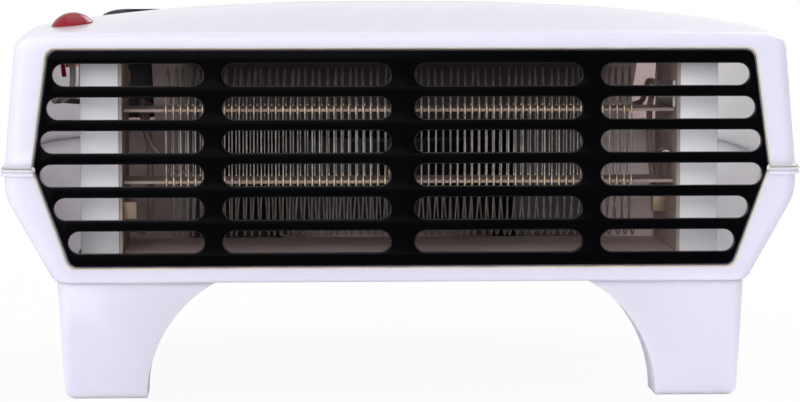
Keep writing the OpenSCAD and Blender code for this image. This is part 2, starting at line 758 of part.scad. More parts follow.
// Mica strips, a comb of notches on both long edges: the rear ones stand half a pitch further on
notch_w = wire_t + 2 * notch_gap;
notch_d = wire_t + 0.8;
strip_half = duct_half - seat_gap;
upper_strip_z = duct_floor_z + upper_strip_h;
lower_strip_z = duct_floor_z + lower_strip_h;
function turn_x(w, i) = wire_pitch * (i + (w == 0 ? -wire_turns : 1));
function notches(y, d, shift) = [for (w = [0, 1], i = [0:wire_turns - 1])
    let (x = turn_x(w, i) + shift) each
    [[x - notch_w / 2, y], [x - notch_w / 2, y + d], [x + notch_w / 2, y + d],
        [x + notch_w / 2, y]]];
function reversed(p) = [for (i = [len(p) - 1:-1:0]) p[i]];
module mica_strip(z) {
    translate([0, 0, z]) linear_extrude(mica_t) polygon(concat(
        [[-strip_half, strip_y0]], notches(strip_y0, notch_d, 0),
        [[strip_half, strip_y0], [strip_half, strip_y1]],
        reversed(notches(strip_y1, -notch_d, wire_pitch / 2)), [[-strip_half, strip_y1]]));
}
module upper_mica_strip() color(mica) mica_strip(upper_strip_z);
module lower_mica_strip() color(mica) mica_strip(lower_strip_z);

// Resistance wires, each wound round both strips as one flattened coil: a turn goes up in the front
// notches, over a narrow tip, down in the rear notches half a pitch on, and under to the next turn
wire_y0 = strip_y0 + notch_gap + wire_t / 2;
wire_y1 = strip_y1 - notch_gap - wire_t / 2;
wire_top_z = duct_top_z - 6;
wire_bottom_z = duct_floor_z + 5;
tip_w = 1.6;
terminal_x = duct_half - 5;
terminal_z = duct_floor_z + 15;
middle_tab = [7, 6, 3];
middle_tab_y = (strip_y0 + strip_y1) / 2 + 0.5;
tab_wire_z = lower_strip_z + mica_t + wire_t / 2 + 0.7;
tab_reach = middle_tab[1] / 2 + seat_gap;

function turn(w, i) = let (x = turn_x(w, i), h = wire_pitch / 2, m = (wire_y0 + wire_y1) / 2) [
    [x, wire_y0, lower_strip_z - 1], [x, wire_y0, upper_strip_z + mica_t + 1],
    [x + 0.4 * h, m - tip_w, wire_top_z], [x + 0.6 * h, m + tip_w, wire_top_z],
    [x + h, wire_y1, upper_strip_z + mica_t + 1], [x + h, wire_y1, lower_strip_z - 1],
    [x + 1.4 * h, m + tip_w, wire_bottom_z], [x + 1.6 * h, m - tip_w, wire_bottom_z]];
function trimmed(p, a, b) = [for (i = [a:len(p) - 1 - b]) p[i]];
function coil(w) = [for (i = [0:wire_turns - 1]) each turn(w, i)];
echo(least_gap_of_the_wire = min([for (a = turn(0, 0), b = turn(0, 1)) norm(a - b)]) - wire_t);

// Closed tube with a square section along a path that stays near the planes across X
module square_wire(p, t) {
    n = len(p);
    function step(i) = let (d = p[i + 1] - p[i]) d / norm(d);
    rings = [for (i = [0:n - 1]) let (
        a = step(min(i, n - 2)) + step(max(i - 1, 0)), d = a / norm(a),
        side = abs(d[0]) > 0.8 ? [0, 0, 1] : [1, 0, 0],
        u = side - (side * d) * d, v = cross(d, u / norm(u)))
        each [for (q = [45:90:315]) p[i] + t / sqrt(2) * (cos(q) * u / norm(u) + sin(q) * v)]];
    sides = [for (i = [0:n - 2], k = [0:3]) let (j = (k + 1) % 4)
        [4 * i + k, 4 * i + 4 + k, 4 * i + 4 + j, 4 * i + j]];
    polyhedron(rings, concat(sides, [[0, 1, 2, 3]], [[for (k = [3:-1:0]) 4 * (n - 1) + k]]),
        convexity = 10);
}

module left_heating_wire() color(steel) {
    first = turn_x(0, 0);
    last = turn_x(0, wire_turns - 1) + wire_pitch / 2;
    square_wire(concat(
        [[-terminal_x, wire_y0, terminal_z], [first - 1.2, wire_y0, terminal_z],
            [first, wire_y0, terminal_z + 1.2]],
        trimmed(coil(0), 0, 3),
        [[last, wire_y1, tab_wire_z + 3], [last, wire_y1 - 2.5, tab_wire_z],
            [last, middle_tab_y + tab_reach, tab_wire_z]]), wire_t);
}

module right_heating_wire() color(steel) {
    first = turn_x(1, 0);
    last = turn_x(1, wire_turns - 1) + wire_pitch / 2;
    square_wire(concat(
        [[first - 0.8, middle_tab_y - tab_reach, tab_wire_z],
            [first - 0.8, wire_y0 + 3, tab_wire_z], [first, wire_y0, tab_wire_z + 4]],
        trimmed(coil(1), 1, 2),
        [[last, wire_y1, terminal_z + 1.2], [last + 1.2, wire_y1, terminal_z],
            [terminal_x, wire_y1, terminal_z]]), wire_t);
}

// Brass tabs that hold the ends of the wires, two on the boards and one on the lower strip
module board_terminal(y) {
    translate([terminal_x + seat_gap, y - 2, terminal_z - 3])
        cube([duct_half - terminal_x - seat_gap, 4, 6]);
}
module wire_terminals() color(brass) {
    mirror([1, 0, 0]) board_terminal(wire_y0);
    board_terminal(wire_y1);
    translate([-middle_tab[0] / 2, middle_tab_y - middle_tab[1] / 2, lower_strip_z + mica_t])
        cube(middle_tab);
}

module thermal_cutout() color(steel)
    translate([duct_half, strip_y0 + 8, upper_strip_z + 6]) rotate([0, -90, 0]) {
        linear_extrude(0.8) square([9, 18], center = true);
        cylinder(r = 4.2, h = 5);
    }

module thermal_fuse() color(steel)
    translate([duct_half - 2.6, strip_y0 + 2, lower_strip_z + 9]) rotate([-90, 0, 0]) {
        cylinder(r = 2, h = 12, $fn = 24);
        translate([-0.4, 0, 4]) cube([3, 0.8, 4]);
    }

// Blower wheel
hub_r = 8;
function blade_point(s, w) = let (
    r = wheel_r - blade_d + blade_d * s - 0.05,
    q = -20 * s * s + w / r * 57.3)
    [r * cos(q), r * sin(q)];
module blade() {
    steps = 5;
    polygon(concat([for (i = [0:steps]) blade_point(i / steps, -wheel_t / 2)],
        [for (i = [steps:-1:0]) blade_point(i / steps, wheel_t / 2)]));
}
module blower_wheel() color(black)
    translate([0, blower_y, wheel_z]) {
        for (i = [0:blades - 1]) rotate(360 * i / blades)
            linear_extrude(wheel_h - wheel_t / 2) blade();
        difference() {
            union() {
                translate([0, 0, wheel_h - wheel_t]) cylinder(r = wheel_r, h = wheel_t, $fn = 96);
                translate([0, 0, wheel_h - 14]) cylinder(r = hub_r, h = 14);
            }
            translate([0, 0, -1]) cylinder(r = shaft_r + run_gap, h = wheel_h + 2);
        }
        difference() {
            cylinder(r = wheel_r, h = wheel_t, $fn = 96);
            translate([0, 0, -1]) cylinder(r = wheel_r - blade_d * 0.55, h = 5, $fn = 96);
        }
    }

// Motor, lifted off its plate by sleeves
motor_lift = 10;
stack_z = plate_z + sheet_t + motor_lift;
stack_top_z = stack_z + stack_h;
window_w = 34;
window_d = winding_t + 4.5;
pole_t = 4.8;
core_front = blower_y - rotor_r - pole_t - window_d - yoke_w;
module motor_laminations() color(steel)
    translate([0, 0, stack_z]) linear_extrude(stack_h) difference() {
        translate([-stack_w / 2, core_front]) square(stack_w);
        translate([-window_w / 2, core_front + yoke_w]) square([window_w, window_d]);
        translate([0, blower_y]) circle(rotor_r + 0.4, $fn = 72);
        for (s = [-1, 1]) translate([s * post_x, blower_y]) circle(screw_r + screw_gap, $fn = 24);
        for (s = [-1, 1]) translate([s * (rotor_r + 1.5), blower_y + s * 7]) circle(1.6, $fn = 24);
    }

// Winding around the iron bar, seen along X as rounded rings
module bobbin_section(g) {
    translate([core_front - g, stack_z - g]) square([yoke_w + 2 * g, stack_h + 2 * g]);
}
bobbin_half = window_w / 2 - 0.6;
module along_x(x0, x1) {
    translate([x0, 0, 0]) rotate([90, 0, 90]) linear_extrude(x1 - x0) children();
}
module coil_bobbin() color(panel_white) {
    along_x(-bobbin_half, bobbin_half) difference() {
        bobbin_section(1.3);
        bobbin_section(0.3);
    }
    for (x = [-bobbin_half, bobbin_half - 1.4]) along_x(x, x + 1.4) difference() {
        bobbin_section(winding_t + 1.6);
        bobbin_section(0.3);
    }
}
module motor_winding() color(copper)
    along_x(-bobbin_half + 1.5, bobbin_half - 1.5) difference() {
        bobbin_section(winding_t + 1.3);
        bobbin_section(1.35);
    }

// Bearing bracket: two feet on the stack, a bar and a cup for the bush
bush_outer = 4.5;
cup_r = 6.8;
bracket_w = 15;
sleeve_r = 4.6;
bracket_t = 2;
bracket_rise = 4.5;
cup_h = 6;
module bracket() {
    difference() {
        union() {
            for (s = [-1, 1]) translate([s * post_x, 0, 0])
                cylinder(r = sleeve_r, h = bracket_rise + bracket_t);
            translate([-post_x, -bracket_w / 2, bracket_rise])
                cube([2 * post_x, bracket_w, bracket_t]);
            translate([0, 0, bracket_rise]) cylinder(r = cup_r, h = cup_h);
        }
        for (s = [-1, 1]) translate([s * post_x, 0, -1])
            cylinder(r = screw_r + screw_gap, h = 30, $fn = 24);
        translate([0, 0, bracket_rise - 1]) cylinder(r = bush_outer + run_gap, h = cup_h + 2);
    }
}
module upper_bearing_bracket() color(steel)
    translate([0, blower_y, stack_top_z]) bracket();
module lower_bearing_bracket() color(steel) {
    translate([0, blower_y, stack_z]) mirror([0, 0, 1]) {
        bracket();
        for (s = [-1, 1]) translate([s * post_x, 0, bracket_rise + bracket_t - eps]) difference() {
            cylinder(r = sleeve_r, h = stack_z - plate_z - sheet_t - bracket_rise - bracket_t + eps);
            translate([0, 0, -1]) cylinder(r = screw_r + screw_gap, h = 30, $fn = 24);
        }
    }
}
module bearing(z) translate([0, blower_y, z]) difference() {
    cylinder(r = bush_outer, h = cup_h);
    translate([0, 0, -1]) cylinder(r = shaft_r + run_gap, h = cup_h + 2);
}
module upper_bearing() color(brass) bearing(stack_top_z + bracket_rise);
module lower_bearing() color(brass) bearing(stack_z - bracket_rise - cup_h);
shaft_z0 = wheel_top_z - 15;
shaft_z1 = stack_top_z + bracket_rise + cup_h - 0.5;
module motor_shaft() color(steel)
    translate([0, blower_y, shaft_z0]) cylinder(r = shaft_r, h = shaft_z1 - shaft_z0);
module motor_rotor() color(steel)
    translate([0, blower_y, stack_z - 1]) difference() {
        cylinder(r = rotor_r, h = stack_h + 2, $fn = 72);
        translate([0, 0, -1]) cylinder(r = shaft_r + run_gap, h = stack_h + 4);
    }
module motor_screws() color(steel)
    for (s = [-1, 1]) translate([s * post_x, blower_y, 0]) {
        z1 = stack_top_z + bracket_rise + bracket_t;
        translate([0, 0, plate_z - 2.6]) {
            cylinder(r = screw_r, h = z1 - plate_z + 2.6, $fn = 24);
            difference() {
                cylinder(r = 3.2, h = 2.6, $fn = 6);
                translate([0, 0, -1]) cylinder(r = screw_r - eps, h = 6, $fn = 24);
            }
        }
        translate([0, 0, z1]) screw(1, screw_r, 3.2, 2);
    }

// Thermostat and selector switch hang under the floors of the wells
module control_body(p, size, shift) {
    z1 = well_floor(p) - wall;
    translate([p[0] + shift[0], p[1] + shift[1], z1 - size[2]]) difference() {
        linear_extrude(size[2]) polygon(rounded([for (c = [[1, -1], [1, 1], [-1, 1], [-1, -1]])
            [c[0] * size[0] / 2, c[1] * size[1] / 2]], 2, 4));
        translate([-shift[0], -shift[1], size[2] - 7]) cylinder(r = spindle_r + run_gap, h = 20);
    }
    difference() {
        translate([p[0], p[1], z1 - 1]) cylinder(r = bush_r, h = wall + 4.4);
        translate([p[0], p[1], z1 - 7]) cylinder(r = spindle_r + run_gap, h = 30);
    }
}
thermostat_size = [19, 20, 22];
thermostat_shift = [-5, 0];
switch_size = [26, 26, 16];
switch_shift = [-2, 2];
module thermostat_body() color(black)
    control_body(knob_places[0], thermostat_size, thermostat_shift);
module selector_switch() color(black)
    control_body(knob_places[1], switch_size, switch_shift);

module control_spindle(p) {
    z0 = well_floor(p) - wall - 6.5;
    z1 = well_floor(p) + knob_h - 3.6;
    translate([p[0], p[1], z0]) cylinder(r = spindle_r, h = z1 - z0);
}
module thermostat_spindle() color(steel) control_spindle(knob_places[0]);
module selector_spindle() color(steel) control_spindle(knob_places[1]);

// Knob: a domed cap with a hollow skirt, a hub and a grip bar left between two scoops
grip_w = 5;
scoop_r = 17;
knob_round = 9;
module control_knob(p) {
    translate([p[0], p[1], well_floor(p) + knob_lift]) difference() {
        rotate_extrude($fn = 72) polygon(concat(
            [[0, 0], [knob_r, 0], [knob_r - 0.6, knob_h - 4]],
            [for (i = [1:8]) let (q = 90 * i / 8)
                [knob_r - 0.6 - knob_round * (1 - cos(q)), knob_h - 4 + 4 * sin(q)]],
            [[0, knob_h]]));
        difference() {
            translate([0, 0, -1]) cylinder(r = knob_r - 2, h = knob_h - 5.4, $fn = 72);
            translate([0, 0, 3.6]) cylinder(r = spindle_r + 2, h = knob_h);
        }
        translate([0, 0, -1]) cylinder(r = spindle_r + run_gap, h = knob_h - 2.4);
        for (s = [0, 1]) mirror([0, s, 0]) intersection() {
            translate([0, grip_w / 2 + 8, knob_h + scoop_r - 2.6]) sphere(scoop_r, $fn = 72);
            translate([-knob_r, grip_w / 2, 0]) cube([2 * knob_r, knob_r, 2 * knob_h]);
        }
    }
}
module thermostat_knob() color(black) control_knob(knob_places[0]);
module selector_knob() color(black) control_knob(knob_places[1]);

module control_nuts() color(steel)
    for (p = knob_places) translate([p[0], p[1], well_floor(p)]) difference() {
        cylinder(r = 8, h = 2.4, $fn = 6);
        translate([0, 0, -1]) cylinder(r = bush_r + run_gap, h = 5);
    }

// Indicator: a domed lens with a collar and two legs, and the neon lamp between its legs
collar_r = lens_r - 1.4;
collar_t = 1.3;
collar_h = 6;
lens_leg_h = 15.2;
lamp_base_h = 2;
lamp_h = 12;
module indicator_lens() color([0.72, 0.05, 0.18]) by_lens() {
    edge = 0.3;
    rise = lens_rise - edge;
    dome_r = (pow(lens_r, 2) + pow(rise, 2)) / (2 * rise);
    difference() {
        union() {
            rotate_extrude($fn = 64) polygon(concat(
                [[0, -wall], [lens_r, -wall], [lens_r, edge]],
                [for (i = [1:8]) let (q = asin(lens_r / dome_r) * (1 - i / 8))
                    [dome_r * sin(q), lens_rise - dome_r * (1 - cos(q))]]));
            translate([0, 0, -wall - collar_h]) cylinder(r = collar_r, h = collar_h + eps);
        }
        translate([0, 0, -wall - collar_h - 1]) cylinder(r = collar_r - collar_t, h = collar_h + wall);
    }
    translate([0, 0, -wall - lens_leg_h]) linear_extrude(lens_leg_h - collar_h + 0.5) difference() {
        intersection() {
            circle(collar_r);
            square([20, 4], center = true);
        }
        circle(collar_r - collar_t);
    }
}
module neon_lamp() color([0.95, 0.75, 0.6]) by_lens() translate([0, 0, -wall - lamp_h]) {
    cylinder(r = 3.9, h = lamp_base_h, $fn = 32);
    cylinder(r = 2.6, h = 9, $fn = 32);
    translate([0, 0, 9]) sphere(r = 2.2, $fn = 32);
}

// Mains entry at the rear: a bush in the wall, and a clamp and terminal block on the motor plate
cord_x = -cord_in;
cord_z = seam_z + cord_h;
bush_gap = 0.2;
cord_bush_r = cord_r + 2.2;
rear_full = pow(1 - pow(abs(cord_x) / (half_w - side_draft / 2), rear_power), 1 / rear_power);
cord_wall_y = side_y + (rear_depth - side_draft / 2) * rear_full;
module cord_hole() translate([cord_x, cord_wall_y - 20, cord_z]) rotate([-90, 0, 0])
    cylinder(r = cord_bush_r + bush_gap, h = 60);
module cord_bush() color(black)
    translate([cord_x, cord_wall_y - 12, cord_z]) rotate([-90, 0, 0]) difference() {
        union() {
            cylinder(r = cord_bush_r, h = 16);
            translate([0, 0, 14]) cylinder(r = cord_bush_r + 1.6, h = 2);
        }
        translate([0, 0, -1]) cylinder(r = cord_r, h = 40);
    }

plate_top_z = plate_z + sheet_t;
clamp_y = blower_y + 40;
clamp_d = 7;
clamp_h = cord_z - plate_top_z + cord_r + 2;
clamp_screw_x = 8.5;
module cord_clamp() color(panel_white)
    translate([cord_x, clamp_y, plate_top_z]) difference() {
        translate([-clamp_w / 2, -clamp_d / 2, 0]) cube([clamp_w, clamp_d, clamp_h]);
        translate([0, -clamp_d, cord_z - plate_top_z]) rotate([-90, 0, 0])
            cylinder(r = cord_r, h = 3 * clamp_d);
        translate([-cord_r, -clamp_d, -1])
            cube([2 * cord_r, 3 * clamp_d, cord_z - plate_top_z + 1]);
        for (s = [-1, 1]) translate([s * clamp_screw_x, 0, -1])
            cylinder(r = screw_r + screw_gap, h = 40, $fn = 24);
    }
module cord_clamp_screws() color(steel)
    for (s = [-1, 1])
        translate([cord_x + s * clamp_screw_x, clamp_y, plate_top_z + clamp_h])
            screw(clamp_h - 0.1, screw_r, 3, 2);

block_w = 24;
block_d = 13;
block_h = 12;
block_y = blower_y + 24;
block_pitch = 7.4;
pole_z = plate_top_z + 6;
module terminal_block() color(panel_white)
    translate([cord_x, block_y, plate_top_z]) difference() {
        translate([-block_w / 2, -block_d / 2, 0]) cube([block_w, block_d, block_h]);
        for (i = [-1:1]) translate([i * block_pitch, 0, 0]) {
            translate([0, -block_d, pole_z - plate_top_z]) rotate([-90, 0, 0])
                cylinder(r = lead_r + 0.4, h = 2 * block_d, $fn = 24);
            translate([0, 0, block_h - 4]) cylinder(r = 2, h = 10, $fn = 24);
        }
    }

// Leads inside the housing: tubes swept along smooth routes through a few chosen points
lead_r = 1.1;
lead_sides = 6;
lead_steps = 3;
function spline(a, b, c, d, t) = 0.5 * ((2 * b) + (c - a) * t
    + (2 * a - 5 * b + 4 * c - d) * t * t + (3 * b - a - 3 * c + d) * t * t * t);
function smooth(p) = let (n = len(p)) concat(
    [for (i = [0:n - 2], k = [0:lead_steps - 1])
        spline(p[max(0, i - 1)], p[i], p[i + 1], p[min(n - 1, i + 2)], k / lead_steps)],
    [p[n - 1]]);
function unit(v) = v / norm(v);
function tangents(p, first, last) = [for (i = [0:len(p) - 1])
    i == 0 ? first : i == len(p) - 1 ? last : unit(p[i + 1] - p[i - 1])];
function side_normals(t, i, n) = let (m = unit(n - (n * t[i]) * t[i]))
    i == len(t) - 1 ? [m] : concat([m], side_normals(t, i + 1, m));
module lead(route) {
    p = smooth(route);
    m = len(route);
    t = tangents(p, unit(route[1] - route[0]), unit(route[m - 1] - route[m - 2]));
    u = side_normals(t, 0, unit(cross(t[0], abs(t[0][2]) > 0.8 ? [1, 0, 0] : [0, 0, 1])));
    n = len(p);
    points = [for (i = [0:n - 1], k = [0:lead_sides - 1])
        let (q = 360 * k / lead_sides, w = cross(t[i], u[i]))
        p[i] + lead_r * (cos(q) * u[i] + sin(q) * w)];
    sides = [for (i = [0:n - 2], k = [0:lead_sides - 1]) let (j = (k + 1) % lead_sides)
        [i * lead_sides + k, (i + 1) * lead_sides + k,
            (i + 1) * lead_sides + j, i * lead_sides + j]];
    polyhedron(points, concat(sides, [[for (k = [0:lead_sides - 1]) k]],
        [[for (k = [lead_sides - 1:-1:0]) (n - 1) * lead_sides + k]]), convexity = 10);
}

// Ends of the leads: each stops short of the face that it meets
pole_front_y = block_y - block_d / 2 + 3;
pole_rear_y = block_y + block_d / 2 - 3;
switch_right_x = knob_places[1][0] + switch_shift[0] + switch_size[0] / 2 + seat_gap;
switch_front_y = knob_places[1][1] + switch_shift[1] - switch_size[1] / 2 - seat_gap;
switch_z = well_floor(knob_places[1]) - wall - 9;
thermostat_rear_y = knob_places[0][1] + thermostat_size[1] / 2 + seat_gap;
thermostat_right_x = knob_places[0][0] + thermostat_shift[0] + thermostat_size[0] / 2;
front_tab_y = wire_y0 + 2 + seat_gap;
rear_tab_y = wire_y1 + 2 + seat_gap;
cutout_y = strip_y0 + 17 + seat_gap;

// The leads lie over the motor plate, come down behind the strips and keep off the side boards
over_plate_z = plate_z + 4.2;
behind_strips_y = strip_y1 + 5;
tab_z = lower_strip_z + mica_t + 1.6;
function by_board(gap) = duct_half - gap;

module switch_leads() color(black) {
    front = knob_places[0];
    rear = knob_places[1];
    lead([[cord_x - block_pitch, pole_front_y, pole_z],
        [cord_x - block_pitch, pole_front_y - 6.5, pole_z],
        [cord_x - 14, pole_front_y - 11.5, pole_z + 1],
        [switch_right_x + 12.7, rear[1] - 3, switch_z],
        [switch_right_x + 5.7, rear[1], switch_z], [switch_right_x, rear[1], switch_z]]);
    lead([[rear[0] - 6, switch_front_y, switch_z - 2],
        [rear[0] - 6, switch_front_y - 6.7, switch_z - 2],
        [front[0] - 2, thermostat_rear_y + 6.7, switch_z - 3],
        [front[0] - 2, thermostat_rear_y, switch_z - 3]]);
}

module heater_leads() color(black) {
    rear = knob_places[1];
    lead([[rear[0] + 2, switch_front_y, switch_z - 2],
        [thermostat_right_x + 1.2, blower_y - 2, over_plate_z + 3.5],
        [thermostat_right_x + 1.7, blower_y - 14, over_plate_z + 1.5],
        [thermostat_right_x + 1.7, blower_y - 38, over_plate_z + 1],
        [-by_board(5.3), duct_back_y + 4, over_plate_z + 4],
        [-by_board(4.8), duct_back_y - 8, over_plate_z + 5],
        [-by_board(5.8), duct_back_y - 19, over_plate_z],
        [-by_board(8.8), behind_strips_y + 0.5, tab_z + 8.8],
        [-by_board(18.8), behind_strips_y, tab_z - 0.2],
        [-by_board(34.8), behind_strips_y, lower_strip_z - 1],
        [-28, behind_strips_y, lower_strip_z - 1.2], [-8, behind_strips_y, lower_strip_z - 1],
        [0, behind_strips_y - 1, lower_strip_z + 1], [1.2, behind_strips_y - 5, tab_z],
        [1.2, middle_tab_y + tab_reach, tab_z]]);
    lead([[rear[0] + 5, switch_front_y, switch_z - 6],
        [thermostat_right_x + 4.4, blower_y - 2, over_plate_z + 0.4],
        [thermostat_right_x + 4.9, blower_y - 16, over_plate_z],
        [thermostat_right_x + 4.9, blower_y - 36, over_plate_z],
        [-by_board(7.3), duct_back_y + 5, over_plate_z + 1],
        [-by_board(6.3), duct_back_y - 8, over_plate_z + 2],
        [-by_board(7.8), duct_back_y - 19, plate_z - 1.8],
        [-by_board(8.3), behind_strips_y + 2, lower_strip_z - 0.6],
        [-by_board(8.3), behind_strips_y - 2, terminal_z - 3.6],
        [-by_board(6.8), strip_y1 - 7, terminal_z - 8.6],
        [-by_board(3.3), strip_y0 + 8, terminal_z - 6.6],
        [-by_board(2.3), front_tab_y + 2.5, terminal_z - 1],
        [-by_board(2.3), front_tab_y, terminal_z - 1]]);
    lead([[by_board(3.8), cutout_y, upper_strip_z + 6],
        [by_board(3.8), strip_y1 - 1, upper_strip_z + 6],
        [by_board(4.8), behind_strips_y, upper_strip_z + 1.8],
        [by_board(4.8), behind_strips_y + 2, terminal_z + 22.4],
        [by_board(3.8), behind_strips_y + 1.5, terminal_z + 10.4],
        [by_board(2.8), rear_tab_y + 2.5, terminal_z], [by_board(2.8), rear_tab_y, terminal_z]]);
    lead([[by_board(4.3), cutout_y, upper_strip_z + 9],
        [by_board(4.3), strip_y1 - 1, upper_strip_z + 9],
        [by_board(5.3), behind_strips_y + 2, upper_strip_z + 8.8],
        [by_board(4.8), duct_back_y - 8, over_plate_z + 7],
        [by_board(6.8), duct_back_y + 6, over_plate_z + 3],
        [wheel_r + 22, blower_y - 18, over_plate_z], [wheel_r - 4, blower_y + 24, over_plate_z],
        [hub_r, blower_y + 34, over_plate_z], [cord_x + 24, blower_y + 33.4, over_plate_z + 1],
        [cord_x + 12, blower_y + 33.4, pole_z],
        [cord_x + block_pitch + 0.2, pole_rear_y + 3.7, pole_z],
        [cord_x + block_pitch, pole_rear_y, pole_z]]);
}

module motor_leads() color(black)
    for (s = [0, 1]) let (h = core_front + 3 + 4 * s, x0 = cord_x + block_pitch * s,
        x1 = -stack_w / 2, z1 = stack_top_z + 4.5)
        lead([[x0, pole_front_y, pole_z], [x0, pole_front_y - 6.5, pole_z],
            [cord_x + 2 + 5 * s, blower_y + 4, pole_z + 3],
            [x1 - 11 + 3 * s, blower_y - 8, stack_z + 4],
            [x1 - 7 + 3 * s, blower_y - 22, stack_top_z - 1],
            [x1 + 2, h, z1], [-bobbin_half - seat_gap, h, z1]]);

module lamp_leads() color(black) {
    foot = lens_at(-wall - lamp_h - seat_gap);
    for (s = [-1, 1]) let (x0 = knob_places[1][0] - 11 + 1.8 * s,
        x1 = knob_places[0][0] + 1.6 * s, x2 = foot[0] + 1.6 * s)
        lead([[x0, switch_front_y, switch_z - 3], [x0, switch_front_y - 5.7, switch_z - 3],
            [x1 - 17, switch_front_y - 13.7, over_plate_z + 3.5 - s],
            [x1 - 25, switch_front_y - 25.7, over_plate_z + 4 - s],
            [x1 - 27, duct_back_y + 2, over_plate_z + 5], [x1 - 27, front_y + 47, over_plate_z + 7],
            [x2 - 1, foot[1] + 3, foot[2] - 8], [x2, foot[1], foot[2] - 4],
            [x2, foot[1], foot[2]]]);
}

upper_housing();
lower_housing();
front_grille();
left_leg();
right_leg();
left_rear_foot();
right_rear_foot();
leg_screws();
foot_screws();
housing_screws();
intake_grille();
inlet_ring();
scroll_wall();
motor_plate();
duct_top();
duct_floor();
left_partition();
right_partition();
left_mica_board();
right_mica_board();
upper_mica_strip();
lower_mica_strip();
left_heating_wire();
right_heating_wire();
wire_terminals();
board_rivets();
thermal_cutout();
thermal_fuse();
blower_wheel();
motor_shaft();
motor_rotor();
motor_laminations();
coil_bobbin();
motor_winding();
lower_bearing_bracket();
upper_bearing_bracket();
lower_bearing();
upper_bearing();
motor_screws();
thermostat_body();
thermostat_spindle();
thermostat_knob();
selector_switch();
selector_spindle();
selector_knob();
control_nuts();
indicator_lens();
neon_lamp();
terminal_block();
cord_bush();
cord_clamp();
cord_clamp_screws();
switch_leads();
heater_leads();
motor_leads();
lamp_leads();
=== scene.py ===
import json
import math

import bmesh
import bpy
import numpy as np
from bpy.props import FloatProperty, FloatVectorProperty, IntProperty, PointerProperty
from mathutils import Matrix, Vector
from mathutils.geometry import tessellate_polygon


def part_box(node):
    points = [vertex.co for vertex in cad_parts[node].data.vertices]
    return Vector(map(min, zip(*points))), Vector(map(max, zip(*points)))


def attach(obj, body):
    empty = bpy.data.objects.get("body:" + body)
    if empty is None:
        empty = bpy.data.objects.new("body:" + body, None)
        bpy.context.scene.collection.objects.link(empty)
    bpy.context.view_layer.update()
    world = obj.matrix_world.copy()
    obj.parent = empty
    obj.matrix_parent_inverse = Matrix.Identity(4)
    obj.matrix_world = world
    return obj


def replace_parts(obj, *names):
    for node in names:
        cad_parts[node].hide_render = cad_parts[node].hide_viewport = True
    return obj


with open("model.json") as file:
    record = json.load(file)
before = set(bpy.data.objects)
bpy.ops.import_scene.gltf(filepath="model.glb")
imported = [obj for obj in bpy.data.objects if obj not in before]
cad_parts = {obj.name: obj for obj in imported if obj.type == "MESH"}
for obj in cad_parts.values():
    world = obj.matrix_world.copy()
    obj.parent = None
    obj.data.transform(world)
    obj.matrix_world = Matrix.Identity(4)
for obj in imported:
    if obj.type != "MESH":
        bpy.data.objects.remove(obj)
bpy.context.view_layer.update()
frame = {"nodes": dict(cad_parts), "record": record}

bl_info = {
    "name": "Fan Heater",
    "version": (1, 0, 0),
    "blender": (4, 5, 0),
    "location": "View3D > Sidebar > Heater",
    "description": "Dresses the fan heater's frame with its housing, grille, element and finishes",
    "category": "Object",
}

MM = 0.001
AXIS_R = 0.0001  # radius of the small flat that closes a turned cutter on its axis
SHARP = 35.0  # an edge that turns by more degrees than this counts as sharp


# ---------------------------------------------------------------- sizes and colours

def length(name, value, text, low=0.0, high=0.4):
    """A size in metres that the panel shows."""
    return FloatProperty(name=name, description=text, default=value, min=low, max=high,
                         subtype="DISTANCE", unit="LENGTH", precision=4)


def tint(name, value, text):
    """A colour that the panel shows."""
    return FloatVectorProperty(name=name, description=text, default=value, size=3,
                               min=0.0, max=1.0, subtype="COLOR")


class HeaterBodySizes(bpy.types.PropertyGroup):
    width: length("Width", 0.267, "Width across the side walls at the seam")
    depth: length("Depth", 0.226, "Depth from the front face to the rear wall")
    leg_height: length("Leg height", 0.0394, "Height of the floor of the body above the ground")
    lower_height: length("Lower height", 0.0382, "Height of the lower housing")
    upper_height: length("Upper height", 0.0454, "Height of the upper housing at its front edge")
    wall: length("Wall", 0.0024, "Thickness of the moulded walls")
    front_wall: length("Front wall", 0.0042, "Thickness of the wall that holds the grille")
    draft: length("Side draft", 0.0034, "How far each side leans in above the seam")
    inset: length("Lower inset", 0.0164, "How far the sides come in below the seam")
    band: length("Seam band", 0.009, "Height of the upright band of wall below the seam")
    side_round: length("Side roll", 0.0065, "Radius of the roll from the sides to the top")
    front_round: length("Front roll", 0.0018, "Radius of the roll from the front to the top")
    crown: length("Crown", 0.009, "Extra rise of the top in the middle")
    rear_fall: length("Rear fall", 0.022, "Fall of the top from the crown to the rear")
    bead: length("Bead", 0.0016, "How far the seam bead stands out of the walls")


class HeaterGrilleSizes(bpy.types.PropertyGroup):
    thickness: length("Thickness", 0.0024, "Thickness of the grille plate")
    border: length("Border", 0.0051, "White border above and below the grille")
    side: length("Side border", 0.0095, "White border beside the grille at the seam")
    top_in: length("Top corners", 0.0052, "How much narrower each top corner is")
    bottom_in: length("Bottom corners", 0.0122, "How much narrower each bottom corner is")
    corner: length("Corner radius", 0.0034, "Radius of the grille's corners")
    rim: length("Rim", 0.0049, "Rim above the first and below the last row")
    slot: length("Slot height", 0.00745, "Height of a slot")
    inner_slot: length("Inner slot", 0.0564, "Length of the inner slots")
    middle_bar: length("Middle bar", 0.0081, "Width of the middle bar")
    bar: length("Side bars", 0.0064, "Width of the other two upright bars")
    gap: length("Gap", 0.0004, "Gap round the grille in its seat")
    rows: IntProperty(name="Rows", description="Rows of slots", default=6, min=4, max=8)


class HeaterElementSizes(bpy.types.PropertyGroup):
    turns: IntProperty(name="Turns", description="Turns in each of the two wires", default=32,
                       min=8, max=34)
    pitch: length("Pitch", 0.0025, "Distance between two turns")
    wire: length("Wire", 0.0006, "Thickness of the resistance wire")


